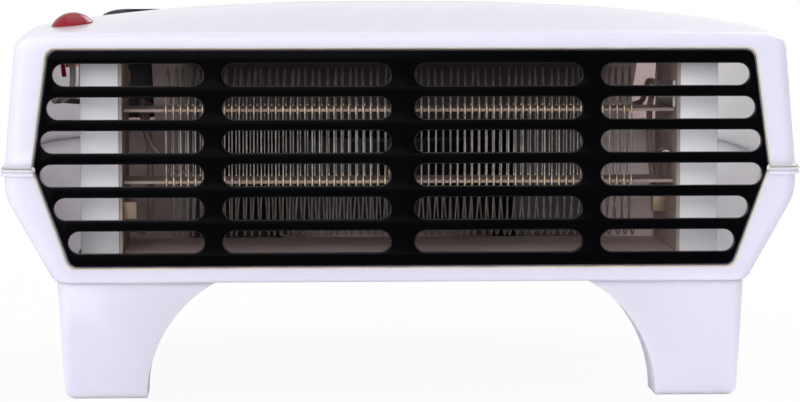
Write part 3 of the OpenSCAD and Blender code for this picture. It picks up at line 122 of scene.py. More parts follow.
class HeaterColours(bpy.types.PropertyGroup):
    housing: tint("Housing", (0.790, 0.765, 0.912), "Moulded white of the housing")
    grille: tint("Grille", (0.0016, 0.0016, 0.0024), "Black of the grille")
    panel: tint("End panels", (0.90, 0.90, 0.94), "Enamelled white of the end panels")
    mica: tint("Mica", (0.50, 0.39, 0.35), "Grey-brown of the mica boards")
    lens: tint("Lens", (0.40, 0.003, 0.020), "Red of the indicator lens")


class HeaterStageSettings(bpy.types.PropertyGroup):
    distance: length("Camera distance", 1.0, "Distance of the camera from the front", 0.2, 5.0)
    height: length("Camera height", 0.150, "Height of the camera above the floor", 0.0, 2.0)
    side: FloatProperty(name="Camera side", description="Camera place across the object",
                        default=-0.0487, subtype="DISTANCE", unit="LENGTH")
    yaw: FloatProperty(name="Yaw", description="Turn of the camera to the right",
                       default=math.radians(2.73), subtype="ANGLE", unit="ROTATION")
    pitch: FloatProperty(name="Pitch", description="Tilt of the camera, down is negative",
                         default=math.radians(-4.75), subtype="ANGLE", unit="ROTATION")
    focal: FloatProperty(name="Focal length", default=2988.9, min=200.0, max=9000.0,
                         description="Focal length in pixels of an 800 wide view")


def sizes():
    return bpy.context.scene.heater_body


def grille_sizes():
    return bpy.context.scene.heater_grille


def seam_z():
    """Height of the joint between the two halves of the housing."""
    return sizes().leg_height + sizes().lower_height


# ---------------------------------------------------------------- meshes

def placed(name, data):
    """New object of some data, linked to the scene."""
    thing = bpy.data.objects.new(name, data)
    bpy.context.scene.collection.objects.link(thing)
    return thing


def new_piece(name, verts, faces, material, body, sharp=SHARP):
    """Mesh object from point and face arrays, smooth with its edges sharp past an angle."""
    mesh = bpy.data.meshes.new(name)
    mesh.from_pydata(np.asarray(verts, float).tolist(), [], [list(f) for f in faces])
    mesh.validate()
    return finish_piece(name, mesh, material, body, sharp)


def finish_piece(name, mesh, material, body, sharp=SHARP):
    """Makes a mesh a piece of the heater that rides on a body."""
    piece = placed(name, mesh)
    mesh.materials.clear()
    mesh.materials.append(material)
    mesh.polygons.foreach_set("use_smooth", np.ones(len(mesh.polygons), bool))
    mesh.set_sharp_from_angle(angle=math.radians(sharp))
    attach(piece, body)
    return piece


def outward(mesh):
    """Turns the faces of a closed mesh outwards, after its doubles are merged."""
    bm = bmesh.new()
    bm.from_mesh(mesh)
    bmesh.ops.remove_doubles(bm, verts=bm.verts, dist=1e-6)
    bmesh.ops.recalc_face_normals(bm, faces=bm.faces)
    bm.to_mesh(mesh)
    bm.free()


def rows_of(items, label):
    """A vector that every item of a mesh has, as rows."""
    rows = np.empty(len(items) * 3)
    items.foreach_get(label, rows)
    return rows.reshape(-1, 3)


def skin_faces(rings, points):
    """Quads between stacked closed rings of equal length, counted ring by ring."""
    j, i = np.meshgrid(np.arange(rings - 1), np.arange(points), indexing="ij")
    k = (i + 1) % points
    return np.stack([j * points + i, j * points + k, (j + 1) * points + k, (j + 1) * points + i],
                    -1).reshape(-1, 4).tolist()


def skin(rings, tip=None):
    """Closed skin over stacked rings, with a flat face below and a flat face or a tip above."""
    m, n = rings.shape[:2]
    verts = rings.reshape(-1, 3)
    faces = skin_faces(m, n) + [list(range(n - 1, -1, -1))]
    if tip is None:
        return verts, faces + [list(range((m - 1) * n, m * n))]
    i = np.arange(n)
    top = np.stack([(m - 1) * n + i, (m - 1) * n + (i + 1) % n, np.full(n, m * n)], -1)
    return np.vstack([verts, tip]), faces + top.tolist()


def join_parts(parts):
    """One point array and one face list from several."""
    verts, faces, base = [], [], 0
    for v, f in parts:
        verts.append(np.asarray(v, float))
        faces += [[base + i for i in face] for face in f]
        base += len(v)
    return np.vstack(verts), faces


def solid_mesh(name, parts):
    """Closed mesh with outward faces from point and face arrays."""
    verts, faces = join_parts(parts)
    mesh = bpy.data.meshes.new(name)
    mesh.from_pydata(verts.tolist(), [], faces)
    outward(mesh)
    return mesh


def carve(mesh, steps):
    """Mesh after a row of boolean steps, each a pair of operation and parts."""
    target, tools = placed("carved", mesh), []
    for operation, parts in steps:
        tools.append(placed("tool", solid_mesh("tool", parts)))
        step = target.modifiers.new("step", "BOOLEAN")
        step.operation, step.solver, step.object = operation, "EXACT", tools[-1]
    graph = bpy.context.evaluated_depsgraph_get()
    result = bpy.data.meshes.new_from_object(target.evaluated_get(graph))
    for o in tools + [target]:
        data = o.data
        bpy.data.objects.remove(o)
        bpy.data.meshes.remove(data)
    return result


def unit(vectors):
    """Rows of vectors made one long."""
    return vectors / np.linalg.norm(vectors, axis=1)[:, None]


def flat_ring(xy, z):
    """Flat outline as a ring of points at one height."""
    return np.column_stack([xy, np.full(len(xy), z)])


def offset_outline(points, d):
    """Closed outline moved to its right by d: each corner moves along the mean of its two normals,
    divided by the cosine of half the turn."""
    a, b = unit(points - np.roll(points, 1, 0)), unit(np.roll(points, -1, 0) - points)
    na, nb = np.stack([a[:, 1], -a[:, 0]], 1), np.stack([b[:, 1], -b[:, 0]], 1)
    m = na + nb
    return points + d * m / (np.einsum("ij,ij->i", m, m) / 2)[:, None].clip(0.2)


def plate(outer, holes, low, high, round_off, steps=3):
    """Flat plate with rounded rims: each outline is carried through quarter circles at both
    faces, and the two flat faces are filled with triangles. Outlines run anticlockwise, the
    plate's outline moves in and those of the holes move out as the rim turns."""
    q = np.linspace(0, math.pi / 2, steps + 1)
    aside, rise = round_off * (1 - np.sin(q)), round_off * (1 - np.cos(q))
    inset = np.concatenate([aside, aside[::-1]])
    heights = np.concatenate([low + rise, high - rise[::-1]])
    parts, caps = [], ([], [])
    for number, loop in enumerate([outer] + holes):
        side = -1 if number == 0 else 1
        rings = np.array([flat_ring(offset_outline(loop, side * d), z)
                          for d, z in zip(inset, heights)])
        parts.append((rings.reshape(-1, 3), skin_faces(len(rings), len(loop))))
        caps[0].append(rings[0])
        caps[1].append(rings[-1])
    for cap in caps:
        flat = np.vstack(cap)
        faces = tessellate_polygon([[Vector(p) for p in loop] for loop in cap])
        parts.append((flat, [list(f) for f in faces]))
    return parts


def upright(parts):
    """Turns a plate drawn in X and Z, with its thickness on the third axis, to stand on Y."""
    return [(np.asarray(v)[:, [0, 2, 1]], f) for v, f in parts]


def spun(profile, centre, count=96):
    """Surface of revolution about Z: radius and height pairs turned through a full circle."""
    a = np.linspace(0, 2 * math.pi, count, endpoint=False)
    r, z = np.asarray(profile, float).T
    pts = np.stack([np.outer(r, np.cos(a)), np.outer(r, np.sin(a)),
                    np.repeat(z[:, None], count, 1)], -1) + np.asarray(centre, float)
    return pts.reshape(-1, 3), skin_faces(len(r), count) + [
        list(range(count - 1, -1, -1)), list(range((len(r) - 1) * count, len(r) * count))]


def bore(r, low, high, centre=(0, 0, 0), count=96):
    """Upright cylinder between two heights, as a cutter."""
    return spun([(AXIS_R, low), (r, low), (r, high), (AXIS_R, high)], centre, count)


def tube(path, radius, sides=8):
    """Round tube along a path, of one radius or one for each point: rings square to the mean
    direction there, with the first axis carried along so that the tube doesn't twist."""
    p = np.asarray(path, float)
    t = unit(np.gradient(p, axis=0))
    up = np.where(np.abs(t[:, 2:3]) > 0.9, [[1.0, 0, 0]], [[0, 0, 1.0]])
    first = np.cross(t[0], up[0])
    axes = np.empty_like(p)
    axes[0] = first / np.linalg.norm(first)
    for i in range(1, len(p)):
        v = axes[i - 1] - t[i] * (axes[i - 1] @ t[i])
        axes[i] = v / np.linalg.norm(v)
    other = np.cross(t, axes)
    a = np.linspace(0, 2 * math.pi, sides, endpoint=False)
    r = np.broadcast_to(radius, len(p))[:, None, None]
    rings = p[:, None] + r * (np.cos(a)[None, :, None] * axes[:, None]
                              + np.sin(a)[None, :, None] * other[:, None])
    return skin(rings)


# ---------------------------------------------------------------- the body's own formulas

CORNER_STEPS, SIDE_STEPS, REAR_STEPS, FRONT_STEPS = 8, 10, 96, 36
REAR_DEPTH, REAR_POWER, CORNER_R = 0.100, 2.3, 0.005
KNOB_PLACES = (-0.091, -0.008), (-0.086, 0.037)
KNOB_R, KNOB_H, KNOB_PROUD, KNOB_LIFT, KNOB_GAP = 0.016, 0.0145, 0.0018, 0.0006, 0.002
SPINDLE_HOLE_R, CORD_HOLE_R, INLET_R = 0.0053, 0.006, 0.0383
LENS_R, LENS_RISE = 0.0071, 0.004
LENS_FROM_SIDE, LENS_FROM_FRONT = 0.0216, 0.027
LOUVRE_PITCH, LOUVRE_W, LOUVRE_LOW, LOUVRE_HIGH = 0.007, 0.003, 0.010, 0.023
CROWN_POWER, CROWN_SHARE = 2.6, 0.25
SCREW_PLACES, SCREW_HOLE_R = ((0.104, -0.066), (0.066, 0.064)), 0.0039
CHAMBER_X = 0.112  # the side chambers lie beyond this X
LOOK_LEVEL = 0.012  # inner faces look towards a point this far above or below the seam
CROWN_START, CROWN_MARGIN = 0.001, 0.005


def plan(a, front, rear, r):
    """Plan outline: straight front and sides and a rear on the curve |x/a|^p + |y/b|^p = 1."""
    side = 0.5 * sizes().depth - REAR_DEPTH
    q = np.radians(np.linspace(-90, 0, CORNER_STEPS + 1))
    right = np.column_stack([a - r + r * np.cos(q), front + r + r * np.sin(q)])
    t = np.arange(1, SIDE_STEPS + 1) / SIDE_STEPS
    up = np.column_stack([np.full(SIDE_STEPS, a), front + r + (side - front - r) * t])
    q = np.pi * np.arange(1, REAR_STEPS) / REAR_STEPS
    full = lambda c: np.sign(c) * np.abs(c) ** (2 / REAR_POWER)
    back = np.column_stack([a * full(np.cos(q)), side + (rear - side) * full(np.sin(q))])
    down = (up * [-1, 1])[::-1]
    left = (right * [-1, 1])[::-1]
    t = np.arange(1, FRONT_STEPS) / FRONT_STEPS
    face = np.column_stack([-(a - r) + 2 * (a - r) * t, np.full(FRONT_STEPS - 1, front)])
    return np.vstack([right, up, back, down, left, face])


def rim_share():
    """Share of the side radius along the plan outline, 0 on the front edge and 1 elsewhere."""
    c = np.arange(CORNER_STEPS + 1) / CORNER_STEPS
    return np.concatenate([c, np.ones(2 * SIDE_STEPS + REAR_STEPS - 1), c[::-1],
                           np.zeros(FRONT_STEPS - 1)])


def top_z(x, y):
    """Height of the crowned top: it rises over the first quarter of the depth and falls on a
    parabola behind it, and its rise fades towards the sides."""
    s = sizes()
    reach, share = s.width / 2 - CROWN_MARGIN, CROWN_SHARE
    v = np.maximum(0, (y + s.depth / 2) / s.depth)
    rise = CROWN_START + s.crown * np.maximum(0, 1 - np.abs(x / reach) ** CROWN_POWER)
    edge = seam_z() + s.upper_height
    return (edge + rise * np.where(v < share, 1 - (1 - v / share) ** 2, 1)
            - np.where(v < share, 0, s.rear_fall * (np.maximum(v - share, 0) / (1 - share)) ** 2))


def roll_ring(t, f, rs, rf, q):
    """Ring of the roll from the walls to the top at angle q, for a shell inset by t."""
    s = sizes()
    inset = s.draft + t + rs * (1 - math.cos(q))
    p = plan(s.width / 2 - inset, -s.depth / 2 + f + rf * (1 - math.cos(q)),
             s.depth / 2 - inset, CORNER_R)
    r = rf + (rs - rf) * rim_share()
    return np.column_stack([p, top_z(p[:, 0], p[:, 1]) - t - r * (1 - math.sin(q))])


def wall_ring(t, f, z):
    """Ring of an upright wall at one height, for a shell inset by t and by f at the front."""
    s = sizes()
    p = plan(s.width / 2 - t, -s.depth / 2 + f, s.depth / 2 - t, CORNER_R)
    return flat_ring(p, z)


def upper_form(t, f, low, rs, rf):
    """Solid of the upper housing, inset by t: leaning wall, roll and crowned top as rings."""
    wall, first = wall_ring(t, f, low), roll_ring(t, f, rs, rf, 0)
    rings = [wall + (first - wall) * k for k in np.linspace(0, 1, 7)[:-1]]
    rings += [roll_ring(t, f, rs, rf, q) for q in np.linspace(0, math.pi / 2, 9)]
    rim = rings[-1]
    for k in (0.97, 0.93, 0.88, 0.82, 0.75, 0.67, 0.58, 0.48, 0.37, 0.25, 0.12):
        xy = rim[:, :2] * k
        rings.append(np.column_stack([xy, top_z(xy[:, 0], xy[:, 1]) - t]))
    tip = np.array([[0, 0, float(top_z(np.zeros(1), np.zeros(1))[0]) - t]])
    return skin(np.array(rings), tip)


def lower_form(t, f, low, high):
    """Solid of the lower housing, inset by t: the sides lean in below the seam band, and the
    knee between the two is a short curve."""
    s = sizes()
    slope = s.lower_height - s.band
    knee, rear_lean = 0.004, 1.4

    def ring(inset, h, rear, chamfer=0.0):
        p = plan(s.width / 2 - inset, -s.depth / 2 + f + chamfer, s.depth / 2 - rear, CORNER_R)
        return flat_ring(p, low + h)

    rings = []
    floor_edge = (0.001, 0), (0.0003, 0.0005), (0, 0.0014)
    for c, h in floor_edge:
        inset = t + s.inset * (1 - h / slope) + c
        rings.append(ring(inset, h, rear_lean * inset, c))
    sides = [(s.inset * (1 - h / slope), h) for h in np.linspace(0.2, 1, 4) * (slope - knee)]
    sides += [(s.inset * knee / slope * (1 - k) ** 2, slope - knee + 2 * knee * k)
              for k in np.linspace(0.2, 1, 5)]
    for lean, h in sides:
        rings.append(ring(t + lean, h, t + rear_lean * lean))
    rings.append(wall_ring(t, f, high))
    return skin(np.array(rings))


def lip(middle, half, base, out, steps=14):
    """Half ellipse of a rounded ridge, from its upper to its lower side, as height over the seam
    and reach beyond the walls, in millimetres."""
    q = np.linspace(math.pi / 2, -math.pi / 2, steps + 1)
    return np.column_stack([middle + half * np.sin(q), base + (out - base) * np.cos(q)])


def upper_bead():
    """The upper housing flares out to the joint line, by a power of the way down, and turns
    under."""
    t = np.linspace(0, 1, 12)
    flare = np.column_stack([3.4 - 2.8 * t, -0.4 + 1.55 * t ** 2.2])
    return np.vstack([[3.4, -1.0], flare, lip(0.5, 0.1, 1.1, 1.2, 4), [0.40, -1.0]])[::-1]


def lower_bead():
    """The lower housing carries two rounded ridges under the joint line, with a groove between."""
    t = np.linspace(0, 1, 8)[1:]
    foot = np.column_stack([-2.25 - 0.7 * t, 0.75 * (1 - t) ** 2 - 0.6 * t])
    return np.vstack([[0.26, -1.0], lip(-0.28, 0.54, 0.95, 1.6), lip(-1.58, 0.66, 0.75, 1.45),
                      foot, [-3.0, -1.0]])


def bead_band(profile):
    """Part of the seam bead: its profile, carried round the plan outline and closed inside."""
    s = sizes()
    seam = seam_z()
    rings = []
    for rise, reach in profile():
        d = reach * s.bead / 1.6
        p = plan(s.width / 2 + d, -s.depth / 2 - d, s.depth / 2 + d, CORNER_R + d)
        rings.append(flat_ring(p, seam + rise * MM))
    rings = np.array(rings)
    m, n = rings.shape[:2]
    i = np.arange(n)
    k = (i + 1) % n
    closing = np.stack([(m - 1) * n + i, (m - 1) * n + k, k, i], -1).tolist()
    return rings.reshape(-1, 3), skin_faces(m, n) + closing


def bead_ends():
    """Rounded ends of the bead, one over each side point of the grille: small ellipsoids."""
    x, y = grille_levels()[3] - 0.0003, -sizes().depth / 2 - 0.0004
    half_sizes = (0.0008, 0.0008, 0.0011)
    q = np.linspace(-math.pi / 2, math.pi / 2, 13)
    ball, faces = spun(np.column_stack([np.maximum(np.cos(q), 0.01), np.sin(q)]), (0, 0, 0), 24)
    return [(ball * half_sizes + (side * x, y, seam_z()), faces) for side in (-1, 1)]


# ---------------------------------------------------------------- the grille's outline

def grille_levels():
    """Heights of the grille's lower edge, its side points and its upper edge, and their X."""
    s, g = sizes(), grille_sizes()
    seam = seam_z()
    return (s.leg_height + g.border, seam + 0.0008, seam + s.upper_height - g.border,
            s.width / 2 - g.side)


def rounded(points, r, steps=7):
    """Polygon with each corner replaced by an arc of radius r that touches both its sides."""
    p = np.asarray(points, float)
    a, b = unit(np.roll(p, 1, 0) - p), unit(np.roll(p, -1, 0) - p)
    half = np.arccos(np.clip(np.einsum("ij,ij->i", a, b), -1, 1)) / 2
    c = p + unit(a + b) * (r / np.sin(half))[:, None]
    s, e = p + a * (r / np.tan(half))[:, None] - c, p + b * (r / np.tan(half))[:, None] - c
    turn = math.pi - 2 * half
    t = np.linspace(0, 1, steps + 1)
    w0 = np.sin(turn[:, None] * (1 - t)) / np.sin(turn)[:, None]
    w1 = np.sin(turn[:, None] * t) / np.sin(turn)[:, None]
    return (c[:, None] + s[:, None] * w0[..., None] + e[:, None] * w1[..., None]).reshape(-1, 2)


def grille_outline(gap):
    """Six corners of the grille, moved in by gap and rounded."""
    g = grille_sizes()
    low, mid, high, x = grille_levels()
    pts = [[x - g.bottom_in - gap, low + gap], [x - gap, mid], [x - g.top_in - gap, high - gap],
           [-x + g.top_in + gap, high - gap], [-x + gap, mid], [-x + g.bottom_in + gap, low + gap]]
    return rounded(pts, g.corner)


def slot_outline(x0, x1, z, h, steps=10):
    """Slot with round ends between two values of X."""
    r = h / 2
    q = np.linspace(-math.pi / 2, math.pi / 2, steps + 1)
    right = np.column_stack([x1 - r + r * np.cos(q), z + r * np.sin(q)])
    left = np.column_stack([x0 + r - r * np.cos(q), z - r * np.sin(q)])
    return np.vstack([right, left])


def grille_slots():
    """Outlines of all slots: two inner and two outer ones in a row. The outer ones end at the
    slanted sides, with a rim that is least at the side points."""
    g = grille_sizes()
    least, more, reach = 0.0013, 0.0016, 0.030
    low, mid, high, x = grille_levels()
    first = high - g.rim - g.slot / 2
    pitch = (high - low - 2 * g.rim - g.slot) / (g.rows - 1)
    found = []
    for i in range(g.rows):
        z = first - pitch * i
        edge = x - (g.top_in * (z - mid) / (high - mid) if z > mid
                    else g.bottom_in * (mid - z) / (mid - low))
        rim = least + more * min(1, abs(z - mid) / reach)
        a = g.middle_bar / 2
        b = a + g.inner_slot + g.bar
        for x0, x1 in ((a, a + g.inner_slot), (b, edge - rim)):
            found.append(slot_outline(x0, x1, z, g.slot))
            found.append(slot_outline(-x1, -x0, z, g.slot))
    return found


def block(low, high):
    """Box between two corners."""
    (x0, y0, z0), (x1, y1, z1) = low, high
    ring = lambda z: [[x0, y0, z], [x1, y0, z], [x1, y1, z], [x0, y1, z]]
    return skin(np.array([ring(z0), ring(z1)], float))


def grille_cut():
    """Cutter for the grille's opening: the outline, a touch wider right at the front face and
    narrower behind the plate, which seats on that ledge."""
    front, wider, ledge = -sizes().depth / 2, -0.0004, 0.0016
    rings = []
    for behind, gap in ((-0.005, wider), (0.0001, wider), (0.0005, 0.0), (0.0026, 0.0),
                        (0.00261, ledge), (0.012, ledge)):
        xz = grille_outline(gap)
        rings.append(np.column_stack([xz[:, 0], np.full(len(xz), front + behind), xz[:, 1]]))
    return skin(np.array(rings))


# ---------------------------------------------------------------- shader nodes

def feed(tree, node, inputs):
    """Sets a node's inputs to values, or links them where a socket is given."""
    for label, value in inputs.items():
        if isinstance(value, bpy.types.NodeSocket):
            tree.links.new(value, node.inputs[label])
        else:
            node.inputs[label].default_value = value


def add(tree, kind, inputs, **settings):
    """New shader node with its settings and inputs."""
    node = tree.nodes.new(kind)
    for label, value in settings.items():
        setattr(node, label, value)
    feed(tree, node, inputs)
    return node


def calc(tree, operation, *values):
    """Result of a Math node."""
    return add(tree, "ShaderNodeMath", dict(enumerate(values)), operation=operation).outputs[0]


def ramp(tree, value, start, end, low, high, **settings):
    """A value carried from one range to another and held inside it."""
    return add(tree, "ShaderNodeMapRange", {
        "Value": value, "From Min": start, "From Max": end, "To Min": low, "To Max": high},
        **settings).outputs["Result"]


def noise(tree, vector, scale, detail=3.0, roughness=0.5):
    return add(tree, "ShaderNodeTexNoise", {
        "Vector": vector, "Scale": scale, "Detail": detail, "Roughness": roughness}).outputs["Fac"]


def part_of(tree, vector, axis):
    """Size of one part of a vector, without its sign."""
    split = add(tree, "ShaderNodeSeparateXYZ", {0: vector})
    return calc(tree, "ABSOLUTE", split.outputs[axis])


def own_place(tree):
    """Object coordinates."""
    return tree.nodes.new("ShaderNodeTexCoord").outputs["Object"]


def shared(name, result, inputs, build):
    """Shader group with one result, built once: build gets the tree and its inputs, which are a
    vector and the named ones, and gives back the socket of the result."""
    tree = bpy.data.node_groups.get(name)
    if tree:
        return tree
    tree = bpy.data.node_groups.new(name, "ShaderNodeTree")
    tree.interface.new_socket("Vector", in_out="INPUT", socket_type="NodeSocketVector")
    for label, value in inputs.items():
        kind = "NodeSocketColor" if label == "Colour" else "NodeSocketFloat"
        socket = tree.interface.new_socket(label, in_out="INPUT", socket_type=kind)
        socket.default_value = value
    kind = "NodeSocketColor" if result == "Colour" else "NodeSocketFloat"
    tree.interface.new_socket(result, in_out="OUTPUT", socket_type=kind)
    given = tree.nodes.new("NodeGroupInput").outputs
    feed(tree, tree.nodes.new("NodeGroupOutput"), {result: build(tree, given)})
    return tree


def uneven_tone():
    """Colour that drifts a little lighter and darker over the surface."""
    def build(tree, given):
        wide = noise(tree, given["Vector"], given["Scale"])
        least = calc(tree, "SUBTRACT", 1.0, given["Amount"])
        share = ramp(tree, wide, 0.3, 0.7, least, 1.0)
        return add(tree, "ShaderNodeVectorMath", {0: given["Colour"], "Scale": share},
                   operation="SCALE").outputs["Vector"]
    return shared("uneven_tone", "Colour",
                  {"Colour": (1, 1, 1, 1), "Amount": 0.05, "Scale": 30.0}, build)


def rubbed_gloss():
    """Roughness that rises in faint smears, as on a handled moulding."""
    def build(tree, given):
        smear = noise(tree, given["Vector"], given["Scale"], 5.0, 0.65)
        return calc(tree, "MULTIPLY_ADD", smear, given["Spread"], given["Roughness"])
    return shared("rubbed_gloss", "Roughness",
                  {"Roughness": 0.3, "Spread": 0.1, "Scale": 40.0}, build)


def fine_grain():
    """Height of a fine grain with a slow wave under it."""
    def build(tree, given):
        grain = noise(tree, given["Vector"], given["Scale"], 2.0)
        wave = noise(tree, given["Vector"], 18.0, 1.0)
        return calc(tree, "MULTIPLY_ADD", wave, given["Wave"], grain)
    return shared("fine_grain", "Height", {"Scale": 800.0, "Wave": 0.3}, build)


def rim_mask():
    """1 on the rounded rims of a plate that faces front, 0 on its flat face."""
    def build(tree, given):
        return ramp(tree, part_of(tree, given["Vector"], "Y"), 0.985, 0.8, 0.0, 1.0)
    return shared("rim_mask", "Mask", {}, build)


def middle_shade():
    """Mask of a painted shade: 1 over the middle of the width, 0 near the sides, with an uneven
    edge.
    """
    def build(tree, given):
        away = part_of(tree, given["Vector"], "X")
        edge = noise(tree, given["Vector"], 60.0, 2.0)
        past = calc(tree, "SUBTRACT", calc(tree, "MULTIPLY_ADD", edge, 0.008, away),
                    given["Reach"])
        return ramp(tree, past, -0.005, 0.005, 1.0, 0.0, interpolation_type="SMOOTHSTEP")
    return shared("middle_shade", "Mask", {"Reach": 0.08}, build)


def place_group(tree, group, vector, **values):
    """Result of a shared group placed in a material with its own values."""
    return add(tree, "ShaderNodeGroup", {"Vector": vector, **values},
               node_tree=group).outputs[0]


def finish(name, colour, roughness, metallic=0.0, tone=0.05, tone_scale=30.0, spread=0.08,
           smear=45.0, grain=900.0, depth=0.02, wave=0.3, stretch=None, extra=None, **sockets):
    """Procedural finish, made once: drifting tone, smeared gloss and a fine grain on a Principled
    shader. Depth is in millimetres, and extra adds to the new material's tree."""
    material = bpy.data.materials.get(name)
    if material:
        return material
    material = bpy.data.materials.new(name)
    material.use_nodes = True
    tree = material.node_tree
    shader = tree.nodes["Principled BSDF"]
    vector = own_place(tree)
    if stretch:
        vector = add(tree, "ShaderNodeMapping",
                     {"Vector": vector, "Scale": stretch}).outputs["Vector"]
    tones = place_group(tree, uneven_tone(), vector, Colour=(*colour, 1.0), Amount=tone,
                        Scale=tone_scale)
    gloss = place_group(tree, rubbed_gloss(), vector, Roughness=roughness - spread / 2,
                        Spread=spread, Scale=smear)
    height = place_group(tree, fine_grain(), vector, Scale=grain, Wave=wave)
    bump = add(tree, "ShaderNodeBump", {"Strength": 1.0, "Distance": depth * MM,
                                        "Height": height})
    feed(tree, shader, {"Metallic": metallic, "Base Color": tones, "Roughness": gloss,
                        "Normal": bump.outputs["Normal"]})
    feed(tree, shader, {label.replace("_", " "): value for label, value in sockets.items()})
    if extra:
        extra(tree, shader)
    return material


def blend_in(tree, shader, factor, colour):
    """Blends a second colour over the finish's own, by a factor socket."""
    base = shader.inputs["Base Color"]
    mix = add(tree, "ShaderNodeMix", {"Factor": factor, "A": base.links[0].from_socket,
                                      "B": (*colour, 1.0)}, data_type="RGBA")
    tree.links.new(mix.outputs["Result"], base)


# ---------------------------------------------------------------- finishes

def colours():
    return bpy.context.scene.heater_colours


def housing_white():
    return finish("housing_white", tuple(colours().housing), 0.20, tone=0.03, tone_scale=12,
                  spread=0.06, depth=0.008, grain=1500, wave=2.0, Specular_IOR_Level=0.3,
                  Subsurface_Weight=1.0, Subsurface_Scale=0.004,
                  Subsurface_Radius=(1.0, 0.95, 1.0))


def lit_through(name, colour, reach, radius=(1.0, 0.95, 1.0), **values):
    """Inner side of the thin housing wall, which daylight comes through."""
    return finish(name, colour, Subsurface_Weight=1.0, Subsurface_Scale=reach,
                  Subsurface_Radius=radius, **values)


def housing_inside_lit():
    """Unpolished inner side of the housing, in a lighter copy of the white: painted light that
    brightens the right chamber.
    """
    return lit_through("housing_inside_lit", (0.95, 0.92, 0.97), 0.045, roughness=0.4, tone=0.03,
                       tone_scale=12, depth=0.012)


def housing_shaded():
    """Inner side of the left chamber, where the leads run: a greyer copy of the inner white, painted
    shade that makes it darker than the right one.
    """
    return lit_through("housing_shaded", (0.60, 0.55, 0.58), 0.03, roughness=0.5, tone=0.12,
                       tone_scale=20, depth=0.015)


def housing_shade_over_duct():
    """Inner side of the upper housing over and behind the duct: a brown copy of the inner white,
    painted shade where little light reaches.
    """
    return lit_through("housing_shade_over_duct", (0.74, 0.60, 0.58), 0.014, (1.0, 0.9, 0.9),
                       roughness=0.5, tone=0.15, tone_scale=30, depth=0.02)


def housing_shade_under_duct():
    """Inner side of the lower housing under the duct, grey-brown: painted shade where little light
    reaches.
    """
    return finish("housing_shade_under_duct", (0.42, 0.34, 0.33), 0.7, tone=0.3, tone_scale=30, depth=0.04)


def housing_edge_highlight_and_joint():
    # Painted highlight: cream on the chamfer round the grille's opening; the joint takes the same
    # tan.
    return finish("housing_edge_highlight_and_joint", (0.80, 0.70, 0.50), 0.4, tone=0.35, tone_scale=90, depth=0.01)


def grille_black():
    """Satin black with a gloss on its rounded rims."""
    def rims(tree, shader):
        normal = tree.nodes.new("ShaderNodeTexCoord").outputs["Normal"]
        feed(tree, shader, {"Coat Weight": place_group(tree, rim_mask(), normal)})
    return finish("grille_black", tuple(colours().grille), 0.15, tone=0.3, spread=0.05,
                  depth=0.01, grain=1300, extra=rims, Specular_IOR_Level=0.01,
                  Coat_Roughness=0.12)


def panel_enamel():
    return finish("panel_enamel", tuple(colours().panel), 0.42, tone=0.06, tone_scale=25,
                  depth=0.02, grain=700)


def mica_sheet():
    return finish("mica_sheet", tuple(colours().mica), 0.6, tone=0.25, tone_scale=120,
                  depth=0.06, grain=500, stretch=(1, 1, 0.4))


def duct_steel(name="duct_steel", colour=(0.80, 0.63, 0.62), extra=None):
    return finish(name, colour, 0.5, tone=0.15, tone_scale=60, depth=0.02, grain=400, extra=extra)


def duct_lit_and_shaded():
    """Duct sheet in a lighter copy of its colour, as painted light, darkened across the middle by
    painted shade.
    """
    def paint_middle_shade(tree, shader):
        mask = place_group(tree, middle_shade(), own_place(tree), Reach=0.079)
        # Painted shade: the middle of the duct goes near black.
        blend_in(tree, shader, mask, (0.12, 0.10, 0.105))
    return duct_steel("duct_lit_and_shaded", (0.96, 0.81, 0.80), paint_middle_shade)


def wire_alloy():
    """Dull alloy wire with a painted brassy highlight at the crimps."""
    def painted_glints(tree, shader):
        crimp_and_glint = add(tree, "ShaderNodeAttribute", {}, attribute_name="crimp_and_glint")
        blend_in(tree, shader, crimp_and_glint.outputs["Fac"], (0.85, 0.64, 0.42))
    return finish("wire_alloy", (0.44, 0.41, 0.39), 0.38, metallic=0.6, tone=0.5,
                  tone_scale=260, depth=0.02, grain=2000, extra=painted_glints)


def lens_red():
    return finish("lens_red", tuple(colours().lens), 0.12, tone=0.1, spread=0.03, depth=0.004,
                  Transmission_Weight=0.3, IOR=1.45, Specular_IOR_Level=0.25)


def black_plastic(name, colour, roughness=0.5, depth=0.03, **values):
    return finish(name, colour, roughness, tone=0.3, depth=depth, **values)


def braided_sleeve():
    return finish("braided_sleeve", (0.34, 0.27, 0.25), 0.7, tone=0.3, tone_scale=200, depth=0.08,
                  grain=2200)


def pale_sleeve():
    return finish("pale_sleeve", (0.66, 0.60, 0.52), 0.5, tone=0.1, depth=0.02)


